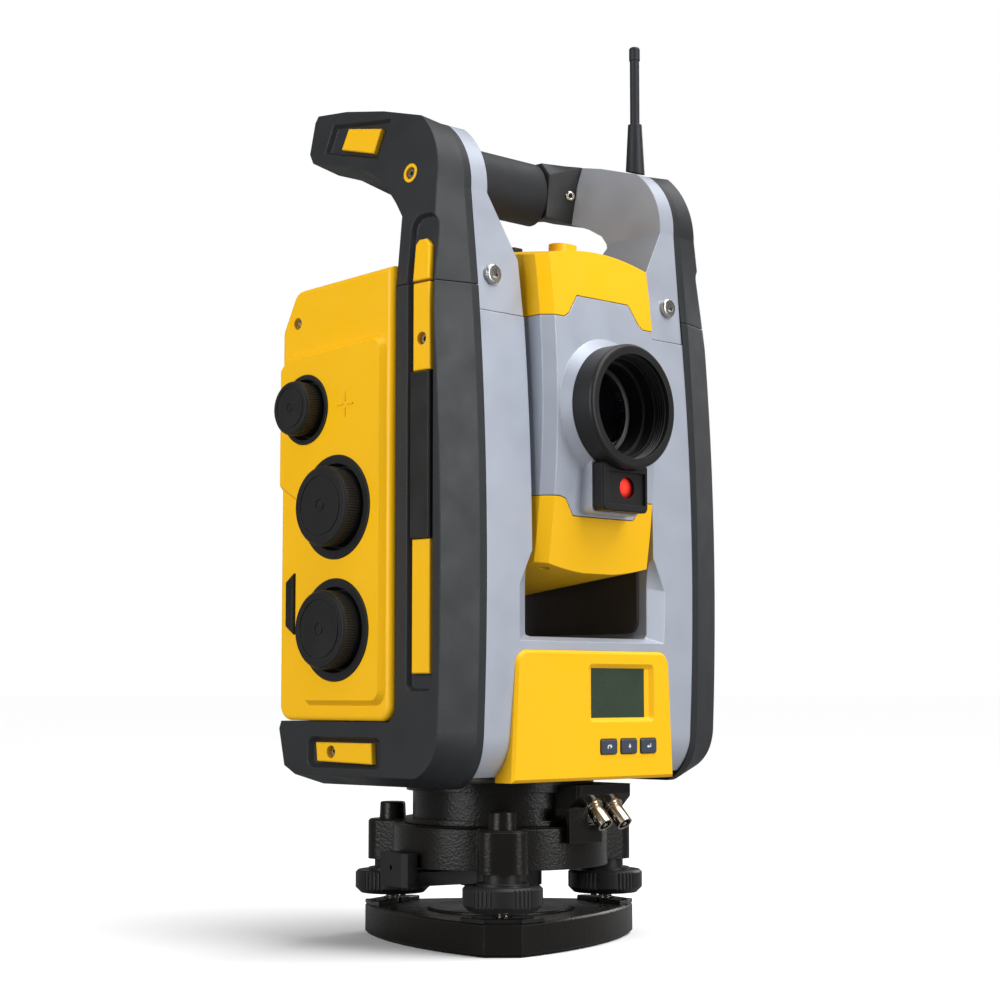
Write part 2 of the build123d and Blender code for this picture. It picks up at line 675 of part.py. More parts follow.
def battery_side_cover():
    """Yellow cover on the +X side, with the battery opening and its hinge holes."""
    with BuildPart() as cover:
        add(side_cover_block())
        with BuildSketch(Plane.YZ.offset(PANEL_FACE - 6)):
            with Locations((sum(DOOR_Y) / 2, sum(DOOR_Z) / 2)):
                Rectangle(DOOR_Y[1] - DOOR_Y[0], DOOR_Z[1] - DOOR_Z[0])
        extrude(amount=12, mode=Mode.SUBTRACT)
        for y, sign in ((DOOR_Y[0], -1), (DOOR_Y[1], 1)):
            with BuildSketch(Plane(origin=(HINGE_X, y, HINGE_Z), z_dir=(0, sign, 0))):
                Circle(1.2 + FIT)
            extrude(amount=2.4, mode=Mode.SUBTRACT)
    keep(cover, "battery_side_cover")


def knob_bezels():
    """Black dished rings round the three knobs, with a bore for each shaft."""
    with BuildPart() as bezels:
        for y, z, knob, bezel in SIDE_KNOBS.values():
            with BuildSketch(Plane.YZ.offset(-91.0)):
                with Locations((y, z)):
                    Circle(bezel)
            extrude(amount=-(PLATEAU_FACE + 0.6 - 91.0))
        chamfer(bezels.edges().group_by(Axis.X)[0], 0.5)
        for y, z, knob, bezel in SIDE_KNOBS.values():
            with BuildSketch(Plane.YZ.offset(-95.0)):
                with Locations((y, z)):
                    Circle(knob + 0.9)
            extrude(amount=-10.0, taper=-12, mode=Mode.SUBTRACT)
            with BuildSketch(Plane.YZ.offset(-90.0)):
                with Locations((y, z)):
                    Circle(SHAFT_RADIUS + FIT)
            extrude(amount=-10.0, mode=Mode.SUBTRACT)
    keep(bezels, "knob_bezels")


def side_knob(name, y, z, radius):
    """Drive knob: a knurled rim, a ringed face with a dimple, and its encoder shaft."""
    low = 95.8
    with BuildPart() as knob:
        with BuildSketch(Plane.YZ.offset(-low)):
            with Locations((y, z)):
                Circle(radius)
        extrude(amount=-(KNOB_FACE - low))
        chamfer(knob.edges().group_by(Axis.X)[0], 0.9)
        with BuildSketch(Plane.YZ.offset(-KNOB_FACE)):
            with Locations((y, z)):
                Circle(radius * 0.78)
                Circle(radius * 0.73, mode=Mode.SUBTRACT)
                Circle(radius * 0.18)
                Circle(radius * 0.11, mode=Mode.SUBTRACT)
        extrude(amount=0.5, mode=Mode.SUBTRACT)
        with BuildSketch(Plane.YZ.offset(-86.0)):
            with Locations((y, z)):
                Circle(SHAFT_RADIUS)
        extrude(amount=-(low - 86.0))
    keep(knob, name)


def port_plug():
    """Narrow slanted plug over the service port behind the lowest knob."""
    with BuildPart() as plug:
        with BuildSketch(Plane.YZ.offset(-PANEL_FACE)):
            Polygon((37.3, 173.0), (43.0, 169.0), (43.0, 148.5), (37.3, 144.5), align=None)
        extrude(amount=-2.6)
        chamfer(plug.edges().group_by(Axis.X)[0], 0.5)
    keep(plug, "port_plug")


# ---------------------------------------------------------------- bumpers
def bumper_outline(front, toe, low, back):
    """Side view of a lower bumper: bowed front, rounded toe, arm back along the foot."""
    with BuildSketch() as side:
        with BuildLine():
            ThreePointArc((front[0], BUMPER_SEAM), (front[1], 175.0), (front[1] + 1.8, 100.0))
            Spline(
                (front[1] + 1.8, 100.0), toe, (toe[0] + 12.0, low),
                tangents=((0.05, -1.0), (1.0, -0.15)), tangent_scalars=(0.8, 0.8),
            )
            Polyline(
                (toe[0] + 12.0, low), (back - 12.0, low), (back - 4.0, low + 4.0), (back, 101.0),
                (back - 1.5, 104.6), (-24.0, 104.6), (-28.0, 108.6), (-28.0, BUMPER_SEAM),
                (front[0], BUMPER_SEAM),
            )
        make_face()
    return side.sketch


def lower_bumper(name, side):
    """Black bumper: a spine up the column's corner and an arm along the foot."""
    with BuildPart() as bumper:
        with BuildSketch(Plane.YZ.offset(FRAME_HALF)):
            add(bumper_outline((-57.0, -62.6), (-57.0, 84.5), 75.0, 55.0))
        extrude(amount=4.5)
        with BuildSketch(Plane.YZ.offset(FRAME_HALF + 4.5)):
            add(bumper_outline((-57.0, -62.6), (-57.0, 84.5), 75.0, 55.0))
        with BuildSketch(Plane.YZ.offset(SIDE_FACE)):
            add(bumper_outline((-51.6, -57.4), (-52.0, 88.5), 80.0, 53.0))
        loft(ruled=True)
        with BuildSketch(Plane.YZ.offset(SIDE_FACE)) as spine:
            with Locations((-44.0, 214.0)):
                Rectangle(17.0, 192.0)
            fillet(spine.vertices().group_by(Axis.Y)[0], 4.0)
        extrude(amount=-2.6, taper=30, mode=Mode.SUBTRACT)
        with BuildSketch(Plane.YZ.offset(SIDE_FACE)):
            with Locations((6.5, 90.5)):
                RectangleRounded(51.0, 14.5, 4.0)
        extrude(amount=-2.6, taper=40, mode=Mode.SUBTRACT)
        if side < 0:
            mirror(about=Plane.YZ, mode=Mode.REPLACE)
    keep(bumper, name)


def lower_inlays():
    """Yellow strips in the lower bumpers' recesses, with holes for their screws."""
    with BuildPart() as inlays:
        with BuildSketch(Plane.YZ.offset(SIDE_FACE - 2.6)) as strips:
            Polygon((-39.5, 299.6), (-39.5, 260.2), (-50.5, 260.2), (-50.0, 299.6), align=None)
            Polygon((-39.2, 185.0), (-39.2, 126.0), (-50.6, 126.0), (-50.6, 185.0), align=None)
            Polygon((26.0, 95.0), (-12.5, 95.0), (-13.0, 85.6), (25.0, 86.4), align=None)
        extrude(amount=2.9)
        chamfer(inlays.edges().group_by(Axis.X)[-1], 0.5)
        with BuildSketch(Plane.YZ.offset(SIDE_FACE + 1)):
            with Locations((-45.3, 274.4), (15.0, 90.8)):
                Circle(2.9)
        extrude(amount=-10, mode=Mode.SUBTRACT)
        mirror(about=Plane.YZ)
    keep(inlays, "lower_inlays")


def name_strips():
    """Blank black strips between the yellow ones."""
    with BuildPart() as strips:
        with BuildSketch(Plane.YZ.offset(SIDE_FACE - 2.6)):
            Polygon((-38.0, 259.8), (-38.0, 185.4), (-50.8, 185.4), (-50.6, 259.8), align=None)
        extrude(amount=3.4)
        chamfer(strips.edges().group_by(Axis.X)[-1], 0.6)
        mirror(about=Plane.YZ)
    keep(strips, "name_strips")


# ---------------------------------------------------------------- handle
ARM_TOP = [(-37.0, 377.0), (-12.0, 384.5), (12.0, 390.0), (34.0, 392.5)]
ARM_UNDER = [(35.0, 365.5), (8.0, 358.5), (-4.0, 354.0), (-13.0, 349.0)]
OUTER_TOP = [(-35.5, 379.5), (-9.0, 386.8), (18.0, 392.0), (39.0, 394.0)]
OUTER_UNDER = [(40.0, 370.5), (7.0, 362.0), (-5.0, 357.0), (-14.0, 350.5)]
OUTER_FACE = Plane(origin=(SIDE_FACE, 0, BUMPER_SEAM), x_dir=(0, 1, 0), z_dir=(1, 0, HANDLE_LEAN))


def handle_side_outline(foot, kink, bend, top, under, end, drop):
    """Side view of a handle side: an upright with an arm that leans back over the gap."""
    low = BUMPER_SEAM + SEAM
    back = -28.0
    corner = (-23.0, 340.0)
    points = [*top, (end + 1.0, top[-1][1] - 3.0), (end + 3.0, under[0][1] + 5.0), *under, corner,
              (back, 333.0), (back, low), (foot, low)]
    with BuildSketch() as side:
        with BuildLine():
            Line((foot, low - drop), (kink, 345.0 - drop))
            ThreePointArc((kink, 345.0 - drop), (bend[0], bend[1] - drop), (top[0][0], top[0][1] - drop))
            Polyline(*[(y, z - drop) for y, z in points])
        make_face()
    return side.sketch


def leg_side_outline():
    """Side view of a silver leg: it stops at the slanted joint with the black end block."""
    with BuildSketch() as side:
        with BuildLine():
            Line((-57.0, FRAME_SEAM + SEAM), (-52.2, 345.0))
            ThreePointArc((-52.2, 345.0), (-47.0, 366.5), ARM_TOP[0])
            Polyline(
                ARM_TOP[0], ARM_TOP[1], (2.0, 387.6), (8.0, 358.5), (-4.0, 354.0), (-13.0, 349.0),
                (-18.0, 342.0), (-12.0, 326.0), (-9.0, REAR_TOP + SEAM), (STEP_Y, REAR_TOP + SEAM),
                (STEP_Y, FRAME_SEAM + SEAM), (-57.0, FRAME_SEAM + SEAM),
            )
        make_face()
    return side.sketch


def handle_legs():
    """Silver legs of the handle, with the gusset that leans out from each foot."""
    front = [
        (INNER_HALF, FRAME_SEAM), (INNER_HALF + 1.2, 315.4), (60.0, 344.5), (60.0, 378.0),
        (63.5, 400.0), (FRAME_HALF, 400.0), (FRAME_HALF, FRAME_SEAM),
    ]
    with BuildPart() as legs:
        with BuildSketch(Plane.YZ):
            add(leg_side_outline())
        extrude(amount=FRAME_HALF)
        with BuildSketch(Plane.XZ.offset(70)):
            Polygon(*front, align=None)
        extrude(amount=-110, mode=Mode.INTERSECT)
        with BuildSketch(Plane.XZ.offset(70)):
            with Locations((60.5, 306.4)):
                Circle(5.4)
        extrude(amount=-14.6, mode=Mode.SUBTRACT)
        with BuildSketch(Plane.XZ.offset(-20)):
            with Locations((60.5, 316.0)):
                Circle(5.4)
        extrude(amount=31.5, mode=Mode.SUBTRACT)
        mirror(about=Plane.YZ)
    keep(legs, "handle_legs")


def upper_bumpers():
    """Black skins of the handle, with the end blocks that carry the grip."""
    inner = (-56.9, -52.2, (-47.0, 366.5), ARM_TOP, ARM_UNDER, ARM_END)
    outer = (-51.5, -49.6, (-45.0, 368.0), OUTER_TOP, OUTER_UNDER, ARM_END + 6.0)
    block = [(2.0, 387.6), (12.0, 390.0), (34.0, 392.5), (ARM_END + 1.0, 389.5),
             (ARM_END + 3.0, 370.5), (35.0, 365.5), (8.0, 358.5)]
    with BuildPart() as skins:
        with BuildSketch(Plane.YZ.offset(FRAME_HALF)):
            add(handle_side_outline(*inner, 0))
        extrude(amount=4.5)
        with BuildSketch(Plane.YZ.offset(FRAME_HALF + 4.5)):
            add(handle_side_outline(*inner, 0))
        with BuildSketch(OUTER_FACE):
            add(handle_side_outline(*outer, BUMPER_SEAM))
        loft(ruled=True)
        with BuildSketch(Plane.YZ.offset(60.0)):
            Polygon(*block, align=None)
        extrude(amount=FRAME_HALF - 60.0)
        with BuildSketch(Plane.YZ.offset(60.0)):
            Polygon(*block, align=None)
        with BuildSketch(Plane.YZ.offset(45.0)):
            with Locations((21.0, 373.5)):
                Polygon((-11.5, 9.0), (-6.0, 16.0), (7.0, 16.0), (11.5, 9.0), (11.5, -9.0),
                        (6.0, -15.0), (-9.0, -12.5), align=None)
        loft(ruled=True)
        with BuildSketch(OUTER_FACE) as spine:
            with Locations((-43.6, 14.0)):
                Rectangle(17.6, 36.0)
            fillet(spine.vertices().group_by(Axis.Y)[-1], 7.0)
        extrude(amount=-2.6, taper=30, mode=Mode.SUBTRACT)
        with BuildSketch(OUTER_FACE):
            Polygon((27.0, 87.4), (-15.0, 82.4), (-8.0, 63.5), (32.0, 73.5), align=None)
        extrude(amount=-2.4, taper=35, mode=Mode.SUBTRACT)
        with BuildSketch(OUTER_FACE):
            with Locations((-31.4, 52.8)):
                Circle(4.4)
        extrude(amount=-1.6, mode=Mode.SUBTRACT)
        mirror(about=Plane.YZ)
    keep(skins, "upper_bumpers")


def upper_inlays():
    """Yellow strips of the handle's skins and the rings round their screws."""
    with BuildPart() as inlays:
        with BuildSketch(OUTER_FACE.offset(-2.6)):
            Polygon((-39.0, 0.9), (-49.4, 0.9), (-48.0, 17.0), (-45.5, 19.8), (-41.0, 19.8),
                    (-39.0, 17.6), align=None)
        extrude(amount=2.9)
        with BuildSketch(OUTER_FACE.offset(-2.4)):
            Polygon((15.3, 83.0), (-8.4, 78.4), (-4.4, 67.2), (19.2, 73.4), align=None)
        extrude(amount=2.7)
        chamfer(inlays.faces().filter_by(lambda face: face.normal_at().X > 0.9).edges(), 0.5)
        with BuildSketch(OUTER_FACE.offset(-1.6)):
            with Locations((-31.4, 52.8)):
                Circle(4.4)
                Circle(2.9, mode=Mode.SUBTRACT)
        extrude(amount=1.8)
        mirror(about=Plane.YZ)
    keep(inlays, "upper_inlays")


def handle_grip():
    """Rubber sleeve between the handle's end blocks."""
    with BuildPart() as grip:
        with BuildSketch(Plane.YZ.offset(-45.0)):
            with Locations((21.5, 373.5)):
                Ellipse(11.5, 16.2)
        extrude(amount=90.0)
        fillet(grip.edges().filter_by(GeomType.ELLIPSE), 1.5)
    keep(grip, "handle_grip")


def handle_screws():
    """Four socket screws that hold the handle to the frame: two in front, two behind."""
    with BuildPart() as screws:
        with BuildSketch(Plane.XZ.offset(55.4)):
            with Locations((60.5, 306.4), (-60.5, 306.4)):
                Circle(4.7)
        extrude(amount=2.6)
        fillet(screws.edges().group_by(Axis.Y)[0], 1.2)
        with BuildSketch(Plane.XZ.offset(58.0)):
            with Locations((60.5, 306.4), (-60.5, 306.4)):
                RegularPolygon(2.2, 6)
        extrude(amount=-1.8, mode=Mode.SUBTRACT)
        with BuildSketch(Plane.XZ.offset(11.5)):
            with Locations((60.5, 316.0), (-60.5, 316.0)):
                Circle(4.7)
                RegularPolygon(2.2, 6, mode=Mode.SUBTRACT)
        extrude(amount=-2.4)
    keep(screws, "handle_screws")


def cover_screws():
    """Small screws of the side covers and the bumpers, alike on both sides."""
    heads = [
        (38.5, 291.0, PANEL_FACE - 2.0), (-45.3, 274.4, SIDE_FACE - 2.6),
        (15.0, 90.8, SIDE_FACE - 2.6),
    ]
    with BuildPart() as screws:
        with BuildSketch(OUTER_FACE.offset(-1.6)):
            with Locations((-31.4, 52.8)):
                Circle(2.2)
                RegularPolygon(1.1, 6, mode=Mode.SUBTRACT)
        extrude(amount=1.0)
        for y, z, floor in heads:
            with BuildSketch(Plane.YZ.offset(floor)):
                with Locations((y, z)):
                    Circle(2.2)
                    RegularPolygon(1.1, 6, mode=Mode.SUBTRACT)
            extrude(amount=1.0)
        mirror(about=Plane.YZ)
    keep(screws, "cover_screws")


def antenna():
    """Radio antenna on the battery-side arm: a tapered foot and a plain whip."""
    x, y, foot, shoulder, tip = 78.0, -20.0, 378.0, 409.0, 450.0
    with BuildPart() as whip:
        with BuildSketch(Plane(origin=(x, y, foot))):
            Circle(5.2)
        extrude(amount=shoulder - foot, taper=3.0)
        with BuildSketch(Plane(origin=(x, y, shoulder))):
            Circle(2.45)
        extrude(amount=tip - shoulder)
        with BuildSketch(Plane(origin=(x, y, tip - 7.0))):
            Circle(2.8)
        extrude(amount=7.0)
        fillet(whip.edges().group_by(Axis.Z)[-1], 1.4)
        with BuildSketch(Plane.YZ.offset(x - 20)):
            Polygon(*OUTER_TOP, (39.0, 350.0), (-35.5, 350.0), align=None)
        extrude(amount=40, mode=Mode.SUBTRACT)
    keep(whip, "antenna")


# ---------------------------------------------------------------- back, battery and drives
def rear_cover():
    """Yellow cover on the back of the foot, behind the controller dock."""
    with BuildPart() as cover:
        with BuildSketch(Plane.XZ.offset(-FRAME_BACK - 4.0)):
            with Locations((0, 113.0)):
                RectangleRounded(104.0, 46.0, 6.0)
        extrude(amount=4.0)
        chamfer(cover.edges().group_by(Axis.Y)[-1], 1.4)
    keep(cover, "rear_cover")


def controller_dock():
    """Dock for the field controller: two rails, a stop and a block of contacts."""
    face = FRAME_BACK + 4.0
    with BuildPart() as dock:
        with BuildSketch(Plane.XZ.offset(-face - 2.5)):
            with Locations((0, 113.0)):
                RectangleRounded(76.0, 36.0, 3.0)
        extrude(amount=2.5)
        with BuildSketch(Plane.XZ.offset(-face - 7.5)):
            with Locations((-35.5, 113.0), (35.5, 113.0)):
                Rectangle(5.0, 36.0)
            with Locations((0, 97.5)):
                Rectangle(76.0, 5.0)
        extrude(amount=5.0)
        with BuildSketch(Plane.XZ.offset(-face - 3.5)):
            with Locations((0, 115.0)):
                RectangleRounded(26.0, 9.0, 1.5)
        extrude(amount=1.0)
    keep(dock, "controller_dock")


def battery_pack():
    """Battery behind the door, on the bumper side of the column."""
    with BuildPart() as pack:
        with BuildSketch(Plane.XY.offset(134.0)):
            with Locations((79.5, 7.0)):
                RectangleRounded(21.0, 46.0, 3.0)
        extrude(amount=96.0)
        with BuildSketch(Plane.YZ.offset(90.0)):
            with Locations((7.0, 182.0)):
                RectangleRounded(34.0, 74.0, 3.0)
        extrude(amount=0.8)
    keep(pack, "battery_pack")


def battery_door():
    """Door over the battery, hinged along its lower edge, with a finger recess at the top."""
    low, high = HINGE_Z, DOOR_Z[1] - DOOR_GAP
    width = DOOR_Y[1] - DOOR_Y[0] - 2 * DOOR_GAP
    middle = sum(DOOR_Y) / 2
    with BuildPart() as door:
        with BuildSketch(Plane.YZ.offset(PLATEAU_FACE - 3.4)):
            with Locations((middle, (low + high) / 2)):
                Rectangle(width, high - low)
        extrude(amount=3.4)
        chamfer(door.edges().group_by(Axis.X)[-1].sort_by(Axis.Z)[1:], 0.5)
        with BuildSketch(Plane.YZ.offset(PLATEAU_FACE)):
            with Locations((middle, high - 12.0)):
                RectangleRounded(30.0, 10.0, 3.0)
        extrude(amount=-2.0, taper=30, mode=Mode.SUBTRACT)
        with BuildSketch(Plane(origin=(HINGE_X, DOOR_Y[0] + DOOR_GAP, HINGE_Z), z_dir=(0, 1, 0))):
            Circle(HINGE_RADIUS)
        extrude(amount=width)
        with BuildSketch(Plane(origin=(HINGE_X, DOOR_Y[0] - 1.8, HINGE_Z), z_dir=(0, 1, 0))):
            Circle(1.2)
        extrude(amount=DOOR_Y[1] - DOOR_Y[0] + 3.6)
    keep(door, "battery_door")


def servo_motors():
    """Two alike drive motors: one in the foot, one in the knob-side column."""
    with BuildPart() as motors:
        for x, y, low in ((38.0, 12.0, 92.0), (-60.0, 22.0, 152.0)):
            with BuildSketch(Plane(origin=(x, y, low))):
                Circle(13.0)
            extrude(amount=32.0)
            with BuildSketch(Plane(origin=(x, y, low + 32.0))):
                Circle(3.0)
            extrude(amount=9.0)
    keep(motors, "servo_motors")


def trunnion_bearings():
    """Bearing rings of the tilting axis, one in each column."""
    with BuildPart() as bearings:
        with BuildSketch(Plane.YZ.offset(INNER_HALF + 1.0)):
            with Locations((0, TRUNNION)):
                Circle(19.0)
                Circle(PIVOT_RADIUS + FIT, mode=Mode.SUBTRACT)
        extrude(amount=11.0)
        mirror(about=Plane.YZ)
    keep(bearings, "trunnion_bearings")


# ---------------------------------------------------------------- telescope
def scope_side_outline():
    """Side view of the telescope's body: bowed front, domed top, sloping underside."""
    with BuildSketch() as side:
        with BuildLine():
            ThreePointArc((-65.3, 323.5), (-71.0, 240.0), (-64.5, 172.5))
            Polyline((-64.5, 172.5), (12.0, 163.5), (38.0, 169.0), (56.0, 192.0))
            ThreePointArc((56.0, 192.0), (63.0, 245.0), (58.0, 298.0))
            Polyline((58.0, 298.0), (42.0, 320.0), (10.0, 327.0), (-40.0, 328.0), (-65.3, 323.5))
        make_face()
    return side.sketch


def scope_block():
    """Whole telescope body before it is parted: chamfered corners, crowned top and underside."""
    with BuildPart() as block:
        with BuildSketch(Plane.YZ.offset(-SCOPE_HALF)):
            add(scope_side_outline())
        extrude(amount=2 * SCOPE_HALF)
        bowed = block.edges().filter_by(GeomType.CIRCLE).filter_by(
            lambda edge: abs(abs(edge.center().X) - SCOPE_HALF) < 0.1
        )
        chamfer(bowed, SCOPE_CHAMFER)
        with BuildSketch(Plane.XZ.offset(80)):
            with BuildLine():
                ThreePointArc((-45.0, 313.4), (0, 321.6), (45.0, 313.4))
                Polyline((45.0, 313.4), (45.0, 350.0), (-45.0, 350.0), (-45.0, 313.4))
            make_face()
        extrude(amount=160, dir=(0, 1, 0.13), mode=Mode.SUBTRACT)
        with BuildSketch(Plane.XZ.offset(80)):
            with BuildLine():
                ThreePointArc((-45.0, 181.0), (0, 174.0), (45.0, 181.0))
                Polyline((45.0, 181.0), (45.0, 140.0), (-45.0, 140.0), (-45.0, 181.0))
            make_face()
        extrude(amount=160, dir=(0, 1, -0.118), mode=Mode.SUBTRACT)
    return block.part


def scope_band_outline():
    """Front view of the silver band: deeper in the middle, above and below."""
    high, low = PART_HIGH, PART_LOW
    with BuildSketch() as band:
        Polygon(
            (-50, low), (-30.0, low), (-26.0, low - 1.0), (-20.5, low - 8.6), (20.5, low - 8.6),
            (26.0, low - 1.0), (30.0, low), (50, low), (50, high), (27.0, high),
            (24.0, high + 2.0), (17.5, high + 11.0), (-17.5, high + 11.0), (-24.0, high + 2.0),
            (-27.0, high), (-50, high), align=None,
        )
    return band.sketch


def telescope_body():
    """Silver middle of the telescope, with the collar, the eyepiece tube and the pivot holes."""
    with BuildPart() as body:
        add(scope_block())
        with BuildSketch(Plane.XZ.offset(80)):
            add(scope_band_outline())
        extrude(amount=-160, mode=Mode.INTERSECT)
        with BuildSketch(Plane.XZ.offset(-50)):
            with Locations((0, TRUNNION)):
                Rectangle(2 * SCOPE_HALF - 8, 140)
        extrude(amount=112, mode=Mode.SUBTRACT)
        with BuildSketch(Plane.XZ.offset(62)):
            with Locations((0, TRUNNION)):
                Circle(33.0)
            with Locations((0.5, 212.0)):
                RectangleRounded(32.5, 25.0, 3.0)
        extrude(amount=6.0)
        with BuildSketch(Plane.XZ.offset(68)):
            with Locations((0, TRUNNION)):
                Circle(34.2)
        extrude(amount=8.0, taper=32)
        with BuildSketch(Plane.XZ.offset(68)):
            with Locations((0.5, 212.0)):
                RectangleRounded(32.5, 25.0, 3.0)
        extrude(amount=7.5)
        with BuildSketch(Plane.XZ.offset(90)):
            with Locations((0, TRUNNION)):
                Circle(26.5)
        extrude(amount=-40, mode=Mode.SUBTRACT)
        with BuildSketch(Plane.XZ.offset(-50)):
            with Locations((0, TRUNNION)):
                Circle(20.0)
        extrude(amount=-12.5)
        with BuildSketch(Plane.XZ.offset(-60)):
            with Locations((0, TRUNNION)):
                Circle(14.0)
        extrude(amount=-17.0)
        with BuildSketch(Plane.XZ.offset(-65)):
            with Locations((0, TRUNNION)):
                Circle(9.0)
        extrude(amount=-30, mode=Mode.SUBTRACT)
        with BuildSketch(Plane.YZ.offset(-60)):
            with Locations((0, TRUNNION)):
                Circle(PIVOT_RADIUS)
        extrude(amount=120, mode=Mode.SUBTRACT)
    keep(body, "telescope_body")


def telescope_cover(name, top):
    """Yellow shell over the upper or lower end of the telescope."""
    with BuildPart() as cover:
        add(scope_block())
        with BuildSketch(Plane.XZ.offset(80)):
            with Locations((0, TRUNNION)):
                Rectangle(120, 220)
            offset(scope_band_outline(), amount=SEAM, mode=Mode.SUBTRACT)
        extrude(amount=-160, mode=Mode.INTERSECT)
        with BuildSketch(Plane.XY.offset(TRUNNION)):
            Rectangle(200, 200)
        extrude(amount=120 if top else -120, mode=Mode.INTERSECT)
        with BuildSketch(Plane.XZ.offset(-38)):
            with Locations((0, TRUNNION)):
                Rectangle(2 * SCOPE_HALF - 7, 134 if top else 144)
        extrude(amount=97, mode=Mode.SUBTRACT)
        if top:
            with BuildSketch(Plane.XY.offset(320)):
                with Locations((-1.5, -44.0)):
                    SlotOverall(15.0, 10.0)
            extrude(amount=10.2)
        else:
            with BuildSketch(Plane.XY.offset(160)):
                with Locations((-29.0, -58.0)):
                    Circle(2.4)
            extrude(amount=20, mode=Mode.SUBTRACT)
    keep(cover, name)


def sight():
    """Small black sight on top of the telescope."""
    with BuildPart() as block:
        with BuildSketch(Plane.XY.offset(322)):
            with Locations((-3.5, -11.0)):
                RectangleRounded(7.0, 11.0, 1.6)
        extrude(amount=11.2)
        fillet(block.edges().group_by(Axis.Z)[-1], 0.8)
        add(scope_block(), mode=Mode.SUBTRACT)
        with BuildSketch(Plane.XZ.offset(30)):
            with Locations((-3.5, 330.4)):
                Circle(1.1)
        extrude(amount=-30, mode=Mode.SUBTRACT)
    keep(block, "sight")


def objective_barrel():
    """Black objective tube with a rounded rim and stepped baffles."""
    with BuildPart() as barrel:
        with BuildSketch(Plane.XZ.offset(-BARREL_BASE)):
            with Locations((0, TRUNNION)):
                Circle(BARREL_RADIUS)
        extrude(amount=BARREL_BASE - BARREL_FRONT)
        fillet(barrel.edges().group_by(Axis.Y)[0], 1.8)
        with BuildSketch(Plane.XZ.offset(51.0)):
            with Locations((0, TRUNNION)):
                Circle(26.5)
        extrude(amount=-BARREL_BASE - 51.0)
        with BuildSketch(Plane.XZ.offset(-BARREL_FRONT)):
            with Locations((0, TRUNNION)):
                Circle(BARREL_BORE)
        extrude(amount=-8.0, mode=Mode.SUBTRACT)
        with BuildSketch(Plane.XZ.offset(-BARREL_FRONT - 8.0)):
            with Locations((0, TRUNNION)):
                Circle(BARREL_BORE - 1.4)
        extrude(amount=-6.0, mode=Mode.SUBTRACT)
        with BuildSketch(Plane.XZ.offset(-BARREL_FRONT - 14.0)):
            with Locations((0, TRUNNION)):
                Circle(BARREL_BORE - 2.8)
        extrude(amount=-40.0, mode=Mode.SUBTRACT)
    keep(barrel, "objective_barrel")


def objective_lens():
    """Front lens, bulging a little towards the target."""
    radius, front, back, curve = BARREL_BORE - 2.8, -64.2, -56.0, 108.0
    with BuildPart() as lens:
        with BuildSketch(Plane.XZ.offset(-back)):
            with Locations((0, TRUNNION)):
                Circle(radius)
        extrude(amount=back - front)
        with Locations((0, front + curve, TRUNNION)):
            Sphere(curve, mode=Mode.INTERSECT)
    keep(lens, "objective_lens")


def tracklight_box():
    """Black box under the objective, with a recessed window and a round lens seat."""
    front, back, low, high, middle = 82.0, 75.5, 200.5, 223.5, 0.5
    with BuildPart() as box:
        with BuildSketch(Plane.XZ.offset(back)):
            with Locations((middle, (low + high) / 2)):
                RectangleRounded(31.0, high - low, 2.5)
        extrude(amount=front - back)
        chamfer(box.edges().group_by(Axis.Y)[0], 0.8)
        with BuildSketch(Plane.XZ.offset(front)):
            with Locations((middle + 0.8, 211.3)):
                Rectangle(25.4, 15.0)
        extrude(amount=-1.6, mode=Mode.SUBTRACT)
        with BuildSketch(Plane.XZ.offset(front)):
            with Locations((3.0, 211.7)):
                Circle(5.0)
        extrude(amount=-6.0, mode=Mode.SUBTRACT)
        with BuildSketch(Plane.XZ.offset(60)):
            with Locations((0, TRUNNION)):
                Circle(BARREL_RADIUS + 0.3)
        extrude(amount=40, mode=Mode.SUBTRACT)
    keep(box, "tracklight_box")


def tracklight_lens():
    """Red guide-light lens in the box."""
    with BuildPart() as lens:
        with BuildSketch(Plane.XZ.offset(76.0)):
            with Locations((3.0, 211.7)):
                Circle(5.0)
        extrude(amount=3.4)
        fillet(lens.edges().group_by(Axis.Y)[0], 1.4)
    keep(lens, "tracklight_lens")


def eyepiece_ring():
    """Ring at the eye end that focuses the crosshair, with a rubber-cup shape."""
    with BuildPart() as ring:
        with BuildSketch(Plane.XZ.offset(-77.5)):
            with Locations((0, TRUNNION)):
                Circle(16.0)
        extrude(amount=-11.5)
        with BuildSketch(Plane.XZ.offset(-89.0)):
            with Locations((0, TRUNNION)):
                Circle(13.0)
        extrude(amount=-4.0)
        chamfer(ring.edges().group_by(Axis.Y)[-1], 0.8)
        with BuildSketch(Plane.XZ.offset(-66.0)):
            with Locations((0, TRUNNION)):
                Circle(9.0 - FIT)
        extrude(amount=-11.5)
        with BuildSketch(Plane.XZ.offset(-60.0)):
            with Locations((0, TRUNNION)):
                Circle(6.0)
        extrude(amount=-40, mode=Mode.SUBTRACT)
    keep(ring, "eyepiece_ring")


def trunnion_axle():
    """Steel stub on each side of the telescope, turning in the column's bearing."""
    with BuildPart() as stubs:
        with BuildSketch(Plane.YZ.offset(30.3)):
            with Locations((0, TRUNNION)):
                Circle(16.0)
        extrude(amount=4.0)
        with BuildSketch(Plane.YZ.offset(30.3)):
            with Locations((0, TRUNNION)):
                Circle(PIVOT_RADIUS)
        extrude(amount=24.0)
        mirror(about=Plane.YZ)
    keep(stubs, "trunnion_axle")


